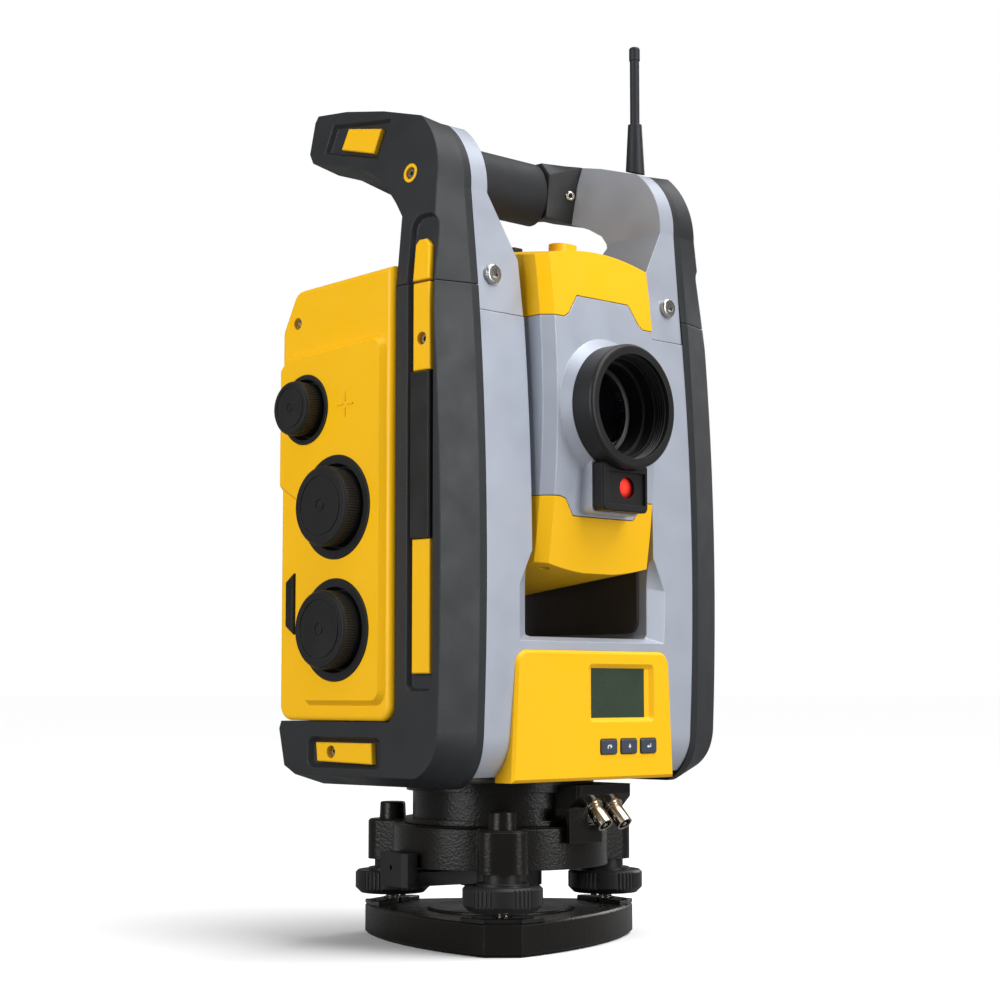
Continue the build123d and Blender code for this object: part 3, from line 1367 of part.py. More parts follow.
# ---------------------------------------------------------------- make every piece
base_plate()
thread_bush()
retaining_clips()
for index, screw_angle in enumerate(SCREW_ANGLES, start=1):
    foot_screw(index, screw_angle)
    foot_knob(index, screw_angle)
tribrach_body()
screw_caps()
level_vial()
lock_lever()
instrument_base()
connector_bracket()
connectors()
vertical_axle()
yoke_frame()
bottom_cover()
inner_cheeks()
keypad_panel()
display_window()
display_module()
for key_name, key_x in KEYS.items():
    key(key_name, key_x)
knob_side_cover()
battery_side_cover()
knob_bezels()
for knob_name, (knob_y, knob_z, knob_radius, bezel_radius) in SIDE_KNOBS.items():
    side_knob(knob_name, knob_y, knob_z, knob_radius)
port_plug()
lower_bumper("knob_side_bumper", -1)
lower_bumper("battery_side_bumper", 1)
lower_inlays()
name_strips()
handle_legs()
upper_bumpers()
upper_inlays()
handle_grip()
handle_screws()
cover_screws()
antenna()
rear_cover()
controller_dock()
battery_pack()
battery_door()
servo_motors()
trunnion_bearings()
telescope_body()
telescope_cover("telescope_cover_top", True)
telescope_cover("telescope_cover_bottom", False)
sight()
objective_barrel()
objective_lens()
tracklight_box()
tracklight_lens()
eyepiece_ring()
trunnion_axle()
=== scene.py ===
# %% [markdown]
# # A surveying total station, dressed in Blender
# The instrument's shape is finished before Blender starts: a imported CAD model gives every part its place.
# This lesson adds what CAD can't say: paint, moulded plastic, rubber, cast metal, glass, and a few small
# details such as knob ribs and key symbols. Loading the model once and reading every position from it keeps
# the two in step.

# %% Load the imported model
import json
import math

import bpy
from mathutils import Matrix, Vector


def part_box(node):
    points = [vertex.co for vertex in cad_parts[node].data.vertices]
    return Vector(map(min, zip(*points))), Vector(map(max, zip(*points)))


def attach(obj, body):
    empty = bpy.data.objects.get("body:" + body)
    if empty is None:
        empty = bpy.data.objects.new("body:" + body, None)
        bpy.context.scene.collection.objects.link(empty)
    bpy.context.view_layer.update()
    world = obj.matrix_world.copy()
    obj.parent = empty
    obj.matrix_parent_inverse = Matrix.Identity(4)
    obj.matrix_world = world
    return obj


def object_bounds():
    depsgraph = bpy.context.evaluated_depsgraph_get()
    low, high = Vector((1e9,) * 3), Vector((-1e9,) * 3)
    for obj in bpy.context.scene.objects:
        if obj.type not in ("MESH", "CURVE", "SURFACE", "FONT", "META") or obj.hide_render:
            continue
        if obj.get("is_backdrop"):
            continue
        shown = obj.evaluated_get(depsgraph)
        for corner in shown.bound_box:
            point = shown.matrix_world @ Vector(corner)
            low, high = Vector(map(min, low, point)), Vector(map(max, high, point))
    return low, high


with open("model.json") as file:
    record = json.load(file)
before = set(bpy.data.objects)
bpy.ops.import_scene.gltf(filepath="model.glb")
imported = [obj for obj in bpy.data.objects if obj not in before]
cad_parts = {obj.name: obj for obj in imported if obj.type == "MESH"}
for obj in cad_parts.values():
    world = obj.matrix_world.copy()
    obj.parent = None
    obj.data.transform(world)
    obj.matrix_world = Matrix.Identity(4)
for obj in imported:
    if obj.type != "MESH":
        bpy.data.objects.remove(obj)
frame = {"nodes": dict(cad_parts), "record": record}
CAD_LOW, CAD_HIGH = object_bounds()
MM = 0.001
print("parts:", len(frame["nodes"]), "height in mm:", round((CAD_HIGH.z - CAD_LOW.z) / MM))

# %% [markdown]
# ## Effects shared by the materials
# Real finishes repeat a few effects: a fine texture from the mould, a slow drift of tone, softened edges
# that rub paler, finger marks that change the gloss, and dust where the surface faces up. Each could be
# rebuilt in every material, but a node group with named inputs is made once and then tuned. The groups give
# only colours, masks, values and normals; the shader itself stays in each material.

# %% A helper for effect groups
def new_effect(name, inputs, outputs):
    """An empty effect group with named sockets, and its input and output nodes."""
    tree = bpy.data.node_groups.new(name, "ShaderNodeTree")
    for label, kind, value in inputs:
        socket = tree.interface.new_socket(label, in_out="INPUT", socket_type="NodeSocket" + kind)
        if value is not None:
            socket.default_value = value
    for label, kind in outputs:
        tree.interface.new_socket(label, in_out="OUTPUT", socket_type="NodeSocket" + kind)
    return tree, tree.nodes.new("NodeGroupInput"), tree.nodes.new("NodeGroupOutput")


def add_node(tree, kind, **settings):
    """A node of one kind, with its settings filled in."""
    node = tree.nodes.new("ShaderNode" + kind)
    for key, value in settings.items():
        setattr(node, key, value)
    return node


# %% [markdown]
# ### Mould texture
# Moulded plastic and cast metal both carry a pebbled skin a fraction of a millimetre across. Noise alone
# looks cloudy and cells alone look like scales, so the height is a mix of the two.

# %% Build the mould texture
def build_mould_texture():
    """Pebbled height from noise and smooth cells."""
    tree, given, result = new_effect(
        "mould texture", [("Scale", "Float", 1800.0), ("Pebble", "Float", 0.5)], [("Height", "Float")]
    )
    place = add_node(tree, "TexCoord")
    noise = add_node(tree, "TexNoise")
    noise.inputs["Detail"].default_value = 3.0
    cells = add_node(tree, "TexVoronoi", feature="SMOOTH_F1")
    blend = add_node(tree, "Mix")
    for texture in (noise, cells):
        tree.links.new(place.outputs["Object"], texture.inputs["Vector"])
        tree.links.new(given.outputs["Scale"], texture.inputs["Scale"])
    tree.links.new(given.outputs["Pebble"], blend.inputs["Factor"])
    tree.links.new(noise.outputs["Fac"], blend.inputs["A"])
    tree.links.new(cells.outputs["Distance"], blend.inputs["B"])
    tree.links.new(blend.outputs["Result"], result.inputs["Height"])
    return tree


MOULD_TEXTURE = build_mould_texture()
print("built", MOULD_TEXTURE.name)

# %% [markdown]
# ### Tone drift
# A big painted or moulded surface is never one exact colour. Slow noise darkens it a little in places. The
# amount is an input, because glossy paint drifts less than a rough casting.

# %% Build the tone drift
def build_tone_drift():
    """A colour that slow noise darkens in places."""
    tree, given, result = new_effect(
        "tone drift",
        [("Colour", "Color", None), ("Amount", "Float", 0.1), ("Scale", "Float", 30.0)],
        [("Colour", "Color")],
    )
    place = add_node(tree, "TexCoord")
    noise = add_node(tree, "TexNoise")
    noise.inputs["Detail"].default_value = 5.0
    depth = add_node(tree, "Math", operation="MULTIPLY")
    keep = add_node(tree, "Math", operation="SUBTRACT")
    keep.inputs[0].default_value = 1.0
    shade = add_node(tree, "VectorMath", operation="SCALE")
    tree.links.new(place.outputs["Object"], noise.inputs["Vector"])
    tree.links.new(given.outputs["Scale"], noise.inputs["Scale"])
    tree.links.new(noise.outputs["Fac"], depth.inputs[0])
    tree.links.new(given.outputs["Amount"], depth.inputs[1])
    tree.links.new(depth.outputs[0], keep.inputs[1])
    tree.links.new(given.outputs["Colour"], shade.inputs[0])
    tree.links.new(keep.outputs[0], shade.inputs["Scale"])
    tree.links.new(shade.outputs[0], result.inputs["Colour"])
    return tree


TONE_DRIFT = build_tone_drift()
print("built", TONE_DRIFT.name)

# %% [markdown]
# ### Rubbed edges
# No moulded or cast edge is knife sharp. The Bevel node rounds the shading without touching the mesh, which
# the CAD model owns. Where the rounded normal leaves the true one there is an edge, and that difference is
# also the mask for the paler, rubbed line.

# %% Build the rubbed edges
def build_rubbed_edges():
    """A rounded normal, and a broken mask along the edges."""
    tree, given, result = new_effect(
        "rubbed edges", [("Radius", "Float", 0.0004)], [("Mask", "Float"), ("Normal", "Vector")]
    )
    rounded = add_node(tree, "Bevel", samples=4)
    surface = add_node(tree, "NewGeometry")
    match = add_node(tree, "VectorMath", operation="DOT_PRODUCT")
    spread = add_node(tree, "MapRange")
    spread.inputs["From Min"].default_value = 0.995
    spread.inputs["From Max"].default_value = 0.80
    place = add_node(tree, "TexCoord")
    patches = add_node(tree, "TexNoise")
    patches.inputs["Scale"].default_value = 180.0
    broken = add_node(tree, "Math", operation="MULTIPLY")
    tree.links.new(given.outputs["Radius"], rounded.inputs["Radius"])
    tree.links.new(rounded.outputs["Normal"], match.inputs[0])
    tree.links.new(surface.outputs["Normal"], match.inputs[1])
    tree.links.new(match.outputs["Value"], spread.inputs["Value"])
    tree.links.new(place.outputs["Object"], patches.inputs["Vector"])
    tree.links.new(spread.outputs["Result"], broken.inputs[0])
    tree.links.new(patches.outputs["Fac"], broken.inputs[1])
    tree.links.new(broken.outputs[0], result.inputs["Mask"])
    tree.links.new(rounded.outputs["Normal"], result.inputs["Normal"])
    return tree


RUBBED_EDGES = build_rubbed_edges()
print("built", RUBBED_EDGES.name)

# %% [markdown]
# ### Finger marks
# Hands polish some patches and leave others dull. Stretching noise between two roughness values shows as a
# slow change in the highlights, which is how the eye tells plastic from paint.

# %% Build the finger marks
def build_finger_marks():
    """A roughness that wanders between polished and dull."""
    tree, given, result = new_effect(
        "finger marks", [("Polished", "Float", 0.3), ("Dull", "Float", 0.5)], [("Roughness", "Float")]
    )
    place = add_node(tree, "TexCoord")
    marks = add_node(tree, "TexNoise")
    marks.inputs["Scale"].default_value = 55.0
    marks.inputs["Detail"].default_value = 6.0
    spread = add_node(tree, "MapRange")
    spread.inputs["From Min"].default_value = 0.3
    spread.inputs["From Max"].default_value = 0.7
    tree.links.new(place.outputs["Object"], marks.inputs["Vector"])
    tree.links.new(marks.outputs["Fac"], spread.inputs["Value"])
    tree.links.new(given.outputs["Polished"], spread.inputs["To Min"])
    tree.links.new(given.outputs["Dull"], spread.inputs["To Max"])
    tree.links.new(spread.outputs["Result"], result.inputs["Roughness"])
    return tree


FINGER_MARKS = build_finger_marks()
print("built", FINGER_MARKS.name)

# %% [markdown]
# ### Settled dust
# Site dust lies on faces that look up. The upward part of the normal, broken by noise, makes its mask.

# %% Build the settled dust
def build_settled_dust():
    """A patchy mask on faces that look up."""
    tree, given, result = new_effect("settled dust", [("Amount", "Float", 0.1)], [("Mask", "Float")])
    surface = add_node(tree, "NewGeometry")
    parts = add_node(tree, "SeparateXYZ")
    place = add_node(tree, "TexCoord")
    patches = add_node(tree, "TexNoise")
    patches.inputs["Scale"].default_value = 400.0
    upward = add_node(tree, "MapRange")
    upward.inputs["From Min"].default_value = 0.5
    settled = add_node(tree, "Math", operation="MULTIPLY")
    thinned = add_node(tree, "Math", operation="MULTIPLY")
    tree.links.new(surface.outputs["Normal"], parts.inputs[0])
    tree.links.new(parts.outputs["Z"], upward.inputs["Value"])
    tree.links.new(place.outputs["Object"], patches.inputs["Vector"])
    tree.links.new(upward.outputs["Result"], settled.inputs[0])
    tree.links.new(patches.outputs["Fac"], settled.inputs[1])
    tree.links.new(settled.outputs[0], thinned.inputs[0])
    tree.links.new(given.outputs["Amount"], thinned.inputs[1])
    tree.links.new(thinned.outputs[0], result.inputs["Mask"])
    return tree


SETTLED_DUST = build_settled_dust()
print("built", SETTLED_DUST.name)

# %% [markdown]
# ## A finish from the effects
# Most of the instrument's finishes share one layout: tone drift into rubbed edges into dust for the colour,
# finger marks for the gloss, and mould texture over rounded edges for the normal. One helper lays it out;
# what makes each finish its own are the values. Numbers that are the same all over sit on the shader's own
# sockets.

# %% The helper that lays out a finish
DUST_COLOUR = (0.42, 0.39, 0.34, 1.0)


def place_effect(tree, group, **values):
    """One effect group in a material, with its own values."""
    node = tree.nodes.new("ShaderNodeGroup")
    node.node_tree = group
    for label, value in values.items():
        node.inputs[label].default_value = value
    return node


def mix_colour(tree, mask, base, colour):
    """The base colour with another colour laid over it by a mask."""
    mix = add_node(tree, "Mix", data_type="RGBA")
    tree.links.new(mask, mix.inputs["Factor"])
    tree.links.new(base, mix.inputs[6])
    mix.inputs[7].default_value = colour
    return mix.outputs[2]


def make_finish(
    name, colour, gloss, grain, metallic=0.0, shine=0.5, drift=0.12, rub=None, edge=0.4, dust=0.08
):
    """A material. gloss is (polished, dull) roughness; grain is (width mm, depth mm, pebble share)."""
    material = bpy.data.materials.new(name)
    material.use_nodes = True
    tree = material.node_tree
    shader = tree.nodes["Principled BSDF"]
    shader.inputs["Metallic"].default_value = metallic
    shader.inputs["Specular IOR Level"].default_value = shine
    tone = place_effect(tree, TONE_DRIFT, Colour=(*colour, 1.0), Amount=drift, Scale=28.0)
    edges = place_effect(tree, RUBBED_EDGES, Radius=edge * MM)
    settled = place_effect(tree, SETTLED_DUST, Amount=dust)
    marks = place_effect(tree, FINGER_MARKS, Polished=gloss[0], Dull=gloss[1])
    skin = place_effect(tree, MOULD_TEXTURE, Scale=1.0 / (grain[0] * MM), Pebble=grain[2])
    rubbed = rub or tuple(min(1.0, 1.3 * channel + 0.02) for channel in colour)
    worn = mix_colour(tree, edges.outputs["Mask"], tone.outputs["Colour"], (*rubbed, 1.0))
    dusty = mix_colour(tree, settled.outputs["Mask"], worn, DUST_COLOUR)
    bump = add_node(tree, "Bump")
    bump.inputs["Distance"].default_value = grain[1] * MM
    tree.links.new(skin.outputs["Height"], bump.inputs["Height"])
    tree.links.new(edges.outputs["Normal"], bump.inputs["Normal"])
    tree.links.new(dusty, shader.inputs["Base Color"])
    tree.links.new(marks.outputs["Roughness"], shader.inputs["Roughness"])
    tree.links.new(bump.outputs["Normal"], shader.inputs["Normal"])
    return material


# %% [markdown]
# ## Shells, castings and rubber
# The shells are golden yellow plastic with a satin skin. The frame and telescope are castings in a
# blue-grey metallic paint. The bumpers are thick near-black moulding with a fine leather grain, and the
# tribrach is a coarser, glossier black casting. They differ in grain width and gloss far more than in
# colour.

# %% Make the body finishes
YELLOW_SHELL = make_finish(
    "golden yellow shell", (0.92, 0.50, 0.0015), (0.32, 0.44), (0.55, 0.022, 0.5), shine=0.32, drift=0.07,
    rub=(1.0, 0.62, 0.03), edge=0.6, dust=0.04,
)
SILVER_CASTING = make_finish(
    "blue-grey metallic paint", (0.42, 0.455, 0.53), (0.34, 0.46), (0.35, 0.02, 0.7),
    metallic=0.35, drift=0.08, rub=(0.72, 0.75, 0.80), edge=0.6, dust=0.05,
)
BLACK_BUMPER = make_finish(
    "black bumper moulding", (0.017, 0.019, 0.022), (0.42, 0.56), (0.7, 0.05, 0.6), shine=0.35, drift=0.25,
    rub=(0.060, 0.068, 0.076), edge=0.9, dust=0.03,
)
BLACK_CASTING = make_finish(
    "coarse black casting", (0.007, 0.006, 0.005), (0.22, 0.34), (1.1, 0.12, 0.6), shine=0.22, drift=0.3,
    rub=(0.075, 0.072, 0.070), edge=0.6, dust=0.05,
)
GRIP_RUBBER = make_finish(
    "grip rubber", (0.014, 0.016, 0.020), (0.46, 0.60), (0.9, 0.06, 0.8), shine=0.35, drift=0.2,
    edge=0.7, dust=0.05,
)
KNOB_PLASTIC = make_finish(
    "knob plastic", (0.010, 0.010, 0.010), (0.34, 0.48), (0.5, 0.03, 0.5), shine=0.3, drift=0.2,
    rub=(0.07, 0.075, 0.08), edge=0.35, dust=0.03,
)
print("body finishes ready")

# %% [markdown]
# ## Smaller finishes
# Keys are slate plastic, the inside of the instrument is dark plastic and steel, and the two sockets
# are warm nickel. The same dark plastic also paints shade: the yoke's inner cheeks and the floors of the
# grip screw sockets are made dark where only shade falls. The name strips are left blank, so their satin
# black skin is all they show.

# %% Make the smaller finishes
STRIP_BLACK = make_finish(
    "satin black strip", (0.014, 0.014, 0.014), (0.28, 0.40), (0.4, 0.015, 0.4), shine=0.4, edge=0.35,
)
# Dark plastic for the battery and bottom cover; on the inner cheeks and socket floors its dark brown is
# painted shade.
DARK_PLASTIC_AND_PAINTED_SHADE = make_finish(
    "dark plastic and painted shade", (0.035, 0.030, 0.026), (0.5, 0.62), (0.8, 0.03, 0.5), drift=0.2, edge=0.4,
)
KEY_SLATE = make_finish(
    "slate key plastic", (0.036, 0.047, 0.070), (0.36, 0.48), (0.35, 0.012, 0.4), drift=0.08,
    rub=(0.16, 0.19, 0.24), edge=0.3, dust=0.0,
)
BRIGHT_STEEL = make_finish(
    "bright steel", (0.60, 0.58, 0.55), (0.16, 0.30), (0.3, 0.004, 0.2), metallic=1.0, drift=0.15, edge=0.2,
    dust=0.02,
)
WARM_NICKEL = make_finish(
    "warm nickel plate", (0.62, 0.56, 0.48), (0.14, 0.26), (0.4, 0.004, 0.2), metallic=1.0, drift=0.2,
    edge=0.2, dust=0.02,
)
BLACK_STEEL = make_finish(
    "blackened steel", (0.035, 0.034, 0.034), (0.26, 0.40), (0.4, 0.01, 0.3), metallic=0.8, drift=0.2,
    edge=0.25,
)
BOARD_GREEN = make_finish(
    "circuit board", (0.02, 0.10, 0.05), (0.3, 0.5), (1.5, 0.02, 0.8), drift=0.3, edge=0.2, dust=0.0,
)
print("smaller finishes ready")

# %% [markdown]
# ## Turned screws
# A foot screw is a turned steel rod with a fine thread. Cutting the thread in the mesh would cost many
# faces for something a millimetre wide, so bands along the height drive the Bump node instead.

# %% Make the threaded steel
def make_threaded_steel():
    """Steel with bands along the height that shade as a fine thread."""
    material = bpy.data.materials.new("threaded steel")
    material.use_nodes = True
    tree = material.node_tree
    shader = tree.nodes["Principled BSDF"]
    shader.inputs["Metallic"].default_value = 1.0
    tone = place_effect(tree, TONE_DRIFT, Colour=(0.60, 0.58, 0.55, 1.0), Amount=0.2, Scale=60.0)
    marks = place_effect(tree, FINGER_MARKS, Polished=0.16, Dull=0.3)
    place = add_node(tree, "TexCoord")
    bands = add_node(tree, "TexWave", bands_direction="Z")
    bands.inputs["Scale"].default_value = 320.0
    bump = add_node(tree, "Bump")
    bump.inputs["Distance"].default_value = 0.25 * MM
    tree.links.new(place.outputs["Object"], bands.inputs["Vector"])
    tree.links.new(bands.outputs["Fac"], bump.inputs["Height"])
    tree.links.new(tone.outputs["Colour"], shader.inputs["Base Color"])
    tree.links.new(marks.outputs["Roughness"], shader.inputs["Roughness"])
    tree.links.new(bump.outputs["Normal"], shader.inputs["Normal"])
    return material


THREADED_STEEL = make_threaded_steel()
print("thread pitch in mm: about 1")

# %% [markdown]
# ## Glass, display and laser
# The objective is coated glass: clear, with a faint violet to green tint that grows towards its edge. Layer
# Weight gives that tint. The level vial is plain clear glass. The display is a dark green reflective panel
# with a fine grid of dots, and the guide light is a red lens that glows most at its centre.

# %% Make the two glasses
def make_glass(name, middle, edge):
    """Clear glass whose tint goes from one colour in the middle to another at its edge."""
    material = bpy.data.materials.new(name)
    material.use_nodes = True
    tree = material.node_tree
    shader = tree.nodes["Principled BSDF"]
    shader.inputs["Transmission Weight"].default_value = 1.0
    shader.inputs["IOR"].default_value = 1.5
    slope = add_node(tree, "LayerWeight")
    slope.inputs["Blend"].default_value = 0.35
    tint = add_node(tree, "Mix", data_type="RGBA")
    tint.inputs[6].default_value = (*middle, 1.0)
    tint.inputs[7].default_value = (*edge, 1.0)
    marks = place_effect(tree, FINGER_MARKS, Polished=0.0, Dull=0.05)
    tree.links.new(slope.outputs["Facing"], tint.inputs["Factor"])
    tree.links.new(tint.outputs[2], shader.inputs["Base Color"])
    tree.links.new(marks.outputs["Roughness"], shader.inputs["Roughness"])
    return material


COATED_GLASS = make_glass("coated lens glass", (0.42, 0.40, 0.62), (0.20, 0.45, 0.36))
CLEAR_GLASS = make_glass("clear vial glass", (0.93, 0.97, 0.95), (0.75, 0.88, 0.82))
print("glasses ready")

# %% Make the display
def make_display():
    """Dark green display under a faint grid of dots."""
    material = bpy.data.materials.new("green display")
    material.use_nodes = True
    tree = material.node_tree
    shader = tree.nodes["Principled BSDF"]
    shader.inputs["Coat Weight"].default_value = 0.3
    shader.inputs["Coat Roughness"].default_value = 0.06
    place = add_node(tree, "TexCoord")
    dots = add_node(tree, "TexVoronoi", feature="F1", distance="CHEBYCHEV")
    dots.inputs["Scale"].default_value = 2200.0
    dots.inputs["Randomness"].default_value = 0.0
    gap = add_node(tree, "MapRange")
    gap.inputs["From Min"].default_value = 0.38
    gap.inputs["From Max"].default_value = 0.50
    tone = place_effect(tree, TONE_DRIFT, Colour=(0.030, 0.052, 0.030, 1.0), Amount=0.25, Scale=40.0)
    cell = mix_colour(tree, gap.outputs["Result"], tone.outputs["Colour"], (0.021, 0.037, 0.021, 1.0))
    marks = place_effect(tree, FINGER_MARKS, Polished=0.22, Dull=0.34)
    tree.links.new(place.outputs["Object"], dots.inputs["Vector"])
    tree.links.new(dots.outputs["Distance"], gap.inputs["Value"])
    tree.links.new(cell, shader.inputs["Base Color"])
    tree.links.new(marks.outputs["Roughness"], shader.inputs["Roughness"])
    return material


GREEN_DISPLAY = make_display()
print("display ready")

# %% Make the glowing lens
def make_glowing_lens(node):
    """A red glow, brightest in the middle of the lens."""
    low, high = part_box(node)
    centre = (low + high) / 2
    radius = (high.z - low.z) / 2
    material = bpy.data.materials.new("red guide light")
    material.use_nodes = True
    tree = material.node_tree
    shader = tree.nodes["Principled BSDF"]
    shader.inputs["Roughness"].default_value = 0.12
    shader.inputs["Emission Strength"].default_value = 1.4
    place = add_node(tree, "TexCoord")
    away = add_node(tree, "VectorMath", operation="DISTANCE")
    away.inputs[1].default_value = centre + Vector((-0.25, 0, 0.1)) * radius
    glow = add_node(tree, "ValToRGB")
    glow.color_ramp.elements[0].color = (1.0, 0.05, 0.03, 1.0)
    glow.color_ramp.elements[1].color = (0.10, 0.0, 0.0, 1.0)
    glow.color_ramp.elements[1].position = 0.9
    near = add_node(tree, "MapRange")
    near.inputs["From Max"].default_value = radius * 1.1
    tree.links.new(place.outputs["Object"], away.inputs[0])
    tree.links.new(away.outputs["Value"], near.inputs["Value"])
    tree.links.new(near.outputs["Result"], glow.inputs["Fac"])
    tree.links.new(glow.outputs["Color"], shader.inputs["Base Color"])
    tree.links.new(glow.outputs["Color"], shader.inputs["Emission Color"])
    return material


RED_GLOW = make_glowing_lens("tracklight_lens")
print("guide light ready")

# %% [markdown]
# ## Dress the CAD parts
# Every part of the CAD model keeps its mesh and gets a finish in its material slot. A plain table from
# finish to part names is the easiest thing to read and to correct, and the loop below it also reports a
# part left bare.

# %% Give each part its finish
PARTS_BY_FINISH = [
    (YELLOW_SHELL, "keypad_panel knob_side_cover battery_side_cover lower_inlays upper_inlays rear_cover"
                   " battery_door telescope_cover_top telescope_cover_bottom"),
    (SILVER_CASTING, "yoke_frame handle_legs telescope_body"),
    (BLACK_BUMPER, "knob_side_bumper battery_side_bumper upper_bumpers"),
    (BLACK_CASTING, "base_plate tribrach_body instrument_base connector_bracket screw_caps"),
    (GRIP_RUBBER, "handle_grip antenna"),
    (KNOB_PLASTIC, "focus_knob vertical_knob horizontal_knob knob_bezels port_plug foot_knob_1 foot_knob_2"
                   " foot_knob_3 lock_lever objective_barrel tracklight_box eyepiece_ring sight"
                   " controller_dock"),
    (STRIP_BLACK, "name_strips"),
    # The inner cheeks' dark brown plastic is painted shade inside the yoke.
    (DARK_PLASTIC_AND_PAINTED_SHADE, "inner_cheeks bottom_cover battery_pack"),
    (KEY_SLATE, "key_left key_middle key_right"),
    (BRIGHT_STEEL, "handle_screws cover_screws trunnion_axle trunnion_bearings vertical_axle servo_motors"),
    (WARM_NICKEL, "connectors"),
    (BLACK_STEEL, "thread_bush retaining_clips"),
    (BOARD_GREEN, "display_module"),
    (THREADED_STEEL, "foot_screw_1 foot_screw_2 foot_screw_3"),
    (COATED_GLASS, "objective_lens"),
    (CLEAR_GLASS, "level_vial"),
    (GREEN_DISPLAY, "display_window"),
    (RED_GLOW, "tracklight_lens"),
]
bare = set(frame["nodes"])
for finish, names in PARTS_BY_FINISH:
    for name in names.split():
        mesh = frame["nodes"][name].data
        mesh.materials.clear()
        mesh.materials.append(finish)
        bare.discard(name)
print("parts left bare:", sorted(bare))

# %% [markdown]
# ## Helpers for added pieces
# An added piece is a mesh built from points and faces, then given a finish and a body to ride on. The body
# is the one that carries the CAD part it sits on, so it turns, slides or tilts with that part.

# %% Turn points and faces into a riding piece
BODY_OF = {name: body for body, names in frame["record"]["behaviour"]["bodies"].items() for name in names}


def add_piece(name, points, faces, finish, carrier, smooth=False):
    """A mesh piece that rides on the same body as the CAD part named carrier."""
    mesh = bpy.data.meshes.new(name)
    mesh.from_pydata([tuple(point) for point in points], [], faces)
    mesh.materials.append(finish)
    mesh.polygons.foreach_set("use_smooth", [smooth] * len(mesh.polygons))
    mesh.validate()
    mesh.update()
    piece = bpy.data.objects.new(name, mesh)
    bpy.context.scene.collection.objects.link(piece)
    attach(piece, BODY_OF[carrier])
    return piece


def add_prisms(outlines, place, low, high):
    """Points and faces of flat outlines made thick from low to high. place turns (a, b, height) to a point."""
    points, faces = [], []
    for outline in outlines:
        first, count = len(points), len(outline)
        points += [place(a, b, low) for a, b in outline]
        points += [place(a, b, high) for a, b in outline]
        faces.append([first + i for i in reversed(range(count))])
        faces.append([first + count + i for i in range(count)])
        for i in range(count):
            j = (i + 1) % count
            faces.append([first + i, first + j, first + count + j, first + count + i])
    return points, faces


def turned_ring(centre, direction, profile, sides=96):
    """Points and faces of a ring turned about a line. profile is its closed section, as (radius, along)."""
    forward = Vector(direction).normalized()
    right = forward.orthogonal().normalized()
    up = forward.cross(right)
    points, faces = [], []
    for step in range(sides):
        turn = 2 * math.pi * step / sides
        spoke = right * math.cos(turn) + up * math.sin(turn)
        points += [Vector(centre) + spoke * radius + forward * along for radius, along in profile]
    count = len(profile)
    for step in range(sides):
        here, there = step * count, ((step + 1) % sides) * count
        for i in range(count):
            j = (i + 1) % count
            faces.append([here + i, here + j, there + j, there + i])
    return points, faces


# %% [markdown]
# ## Key symbols
# The three keys carry small pale printed symbols: back, down and enter. Print is thin ink, so each symbol
# is a plate a few hundredths of a millimetre thick that stands on the key face and moves in with the key.

# %% Print the key symbols
SYMBOL_WHITE = make_finish(
    "printed symbol white", (0.70, 0.74, 0.78), (0.4, 0.5), (0.3, 0.004, 0.3), drift=0.05, edge=0.05,
    dust=0.0,
)
BAR = 0.32
SYMBOLS = {
    "key_left": [
        [(-1.6, -0.9), (-1.6, 0.2), (-1.6 + 2 * BAR, 0.2), (-1.6 + 2 * BAR, -0.9)],
        [(-1.6, 0.2), (-1.0, 0.9), (1.2, 0.9), (0.9, 0.35), (-0.7, 0.35), (-0.9, 0.2)],
        [(0.5, -0.9), (1.7, 0.2), (0.9, 0.35), (0.3, 0.2)],
    ],
    "key_middle": [
        [(-0.35, 0.2), (-0.35, 1.1), (0.35, 1.1), (0.35, 0.2)],
        [(-1.0, 0.2), (1.0, 0.2), (0.0, -1.0)],
    ],
    "key_right": [
        [(1.2, 1.1), (1.2, -0.6), (-0.6, -0.6), (-0.6, 0.0), (0.7, 0.0), (0.7, 1.1)],
        [(-0.5, -1.1), (-1.7, -0.3), (-0.5, 0.5)],
    ],
}
INK_BOTTOM, INK_TOP = 0.01 * MM, 0.04 * MM


def print_symbol(key_name, outlines):
    """A thin printed symbol in the middle of a key's front face."""
    low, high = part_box(key_name)
    middle = (low + high) / 2

    def on_key(a, b, height):
        return (middle.x + a * MM, low.y - height, middle.z + b * MM)

    points, faces = add_prisms(outlines, on_key, INK_BOTTOM, INK_TOP)
    add_piece(key_name + "_symbol", points, faces, SYMBOL_WHITE, key_name)


for key_name, outlines in SYMBOLS.items():
    print_symbol(key_name, outlines)
print("symbols printed:", len(SYMBOLS))

# %% [markdown]
# ## Knob ribs
# The drive knobs are gripped with gloved fingers, so their rims are cut with fine ribs. The CAD knob has a
# plain rim; the ribs are one mesh per knob, each rib a small half-round bar, placed by turning one profile.

# %% Add ribs round the drive knobs
RIB_PITCH, RIB_HEIGHT, RIB_ROOT = 1.25 * MM, 0.32 * MM, -0.2 * MM
RIB_START, RIB_END, RIB_LEAD_IN = 1.3 * MM, 7.2 * MM, 0.4 * MM


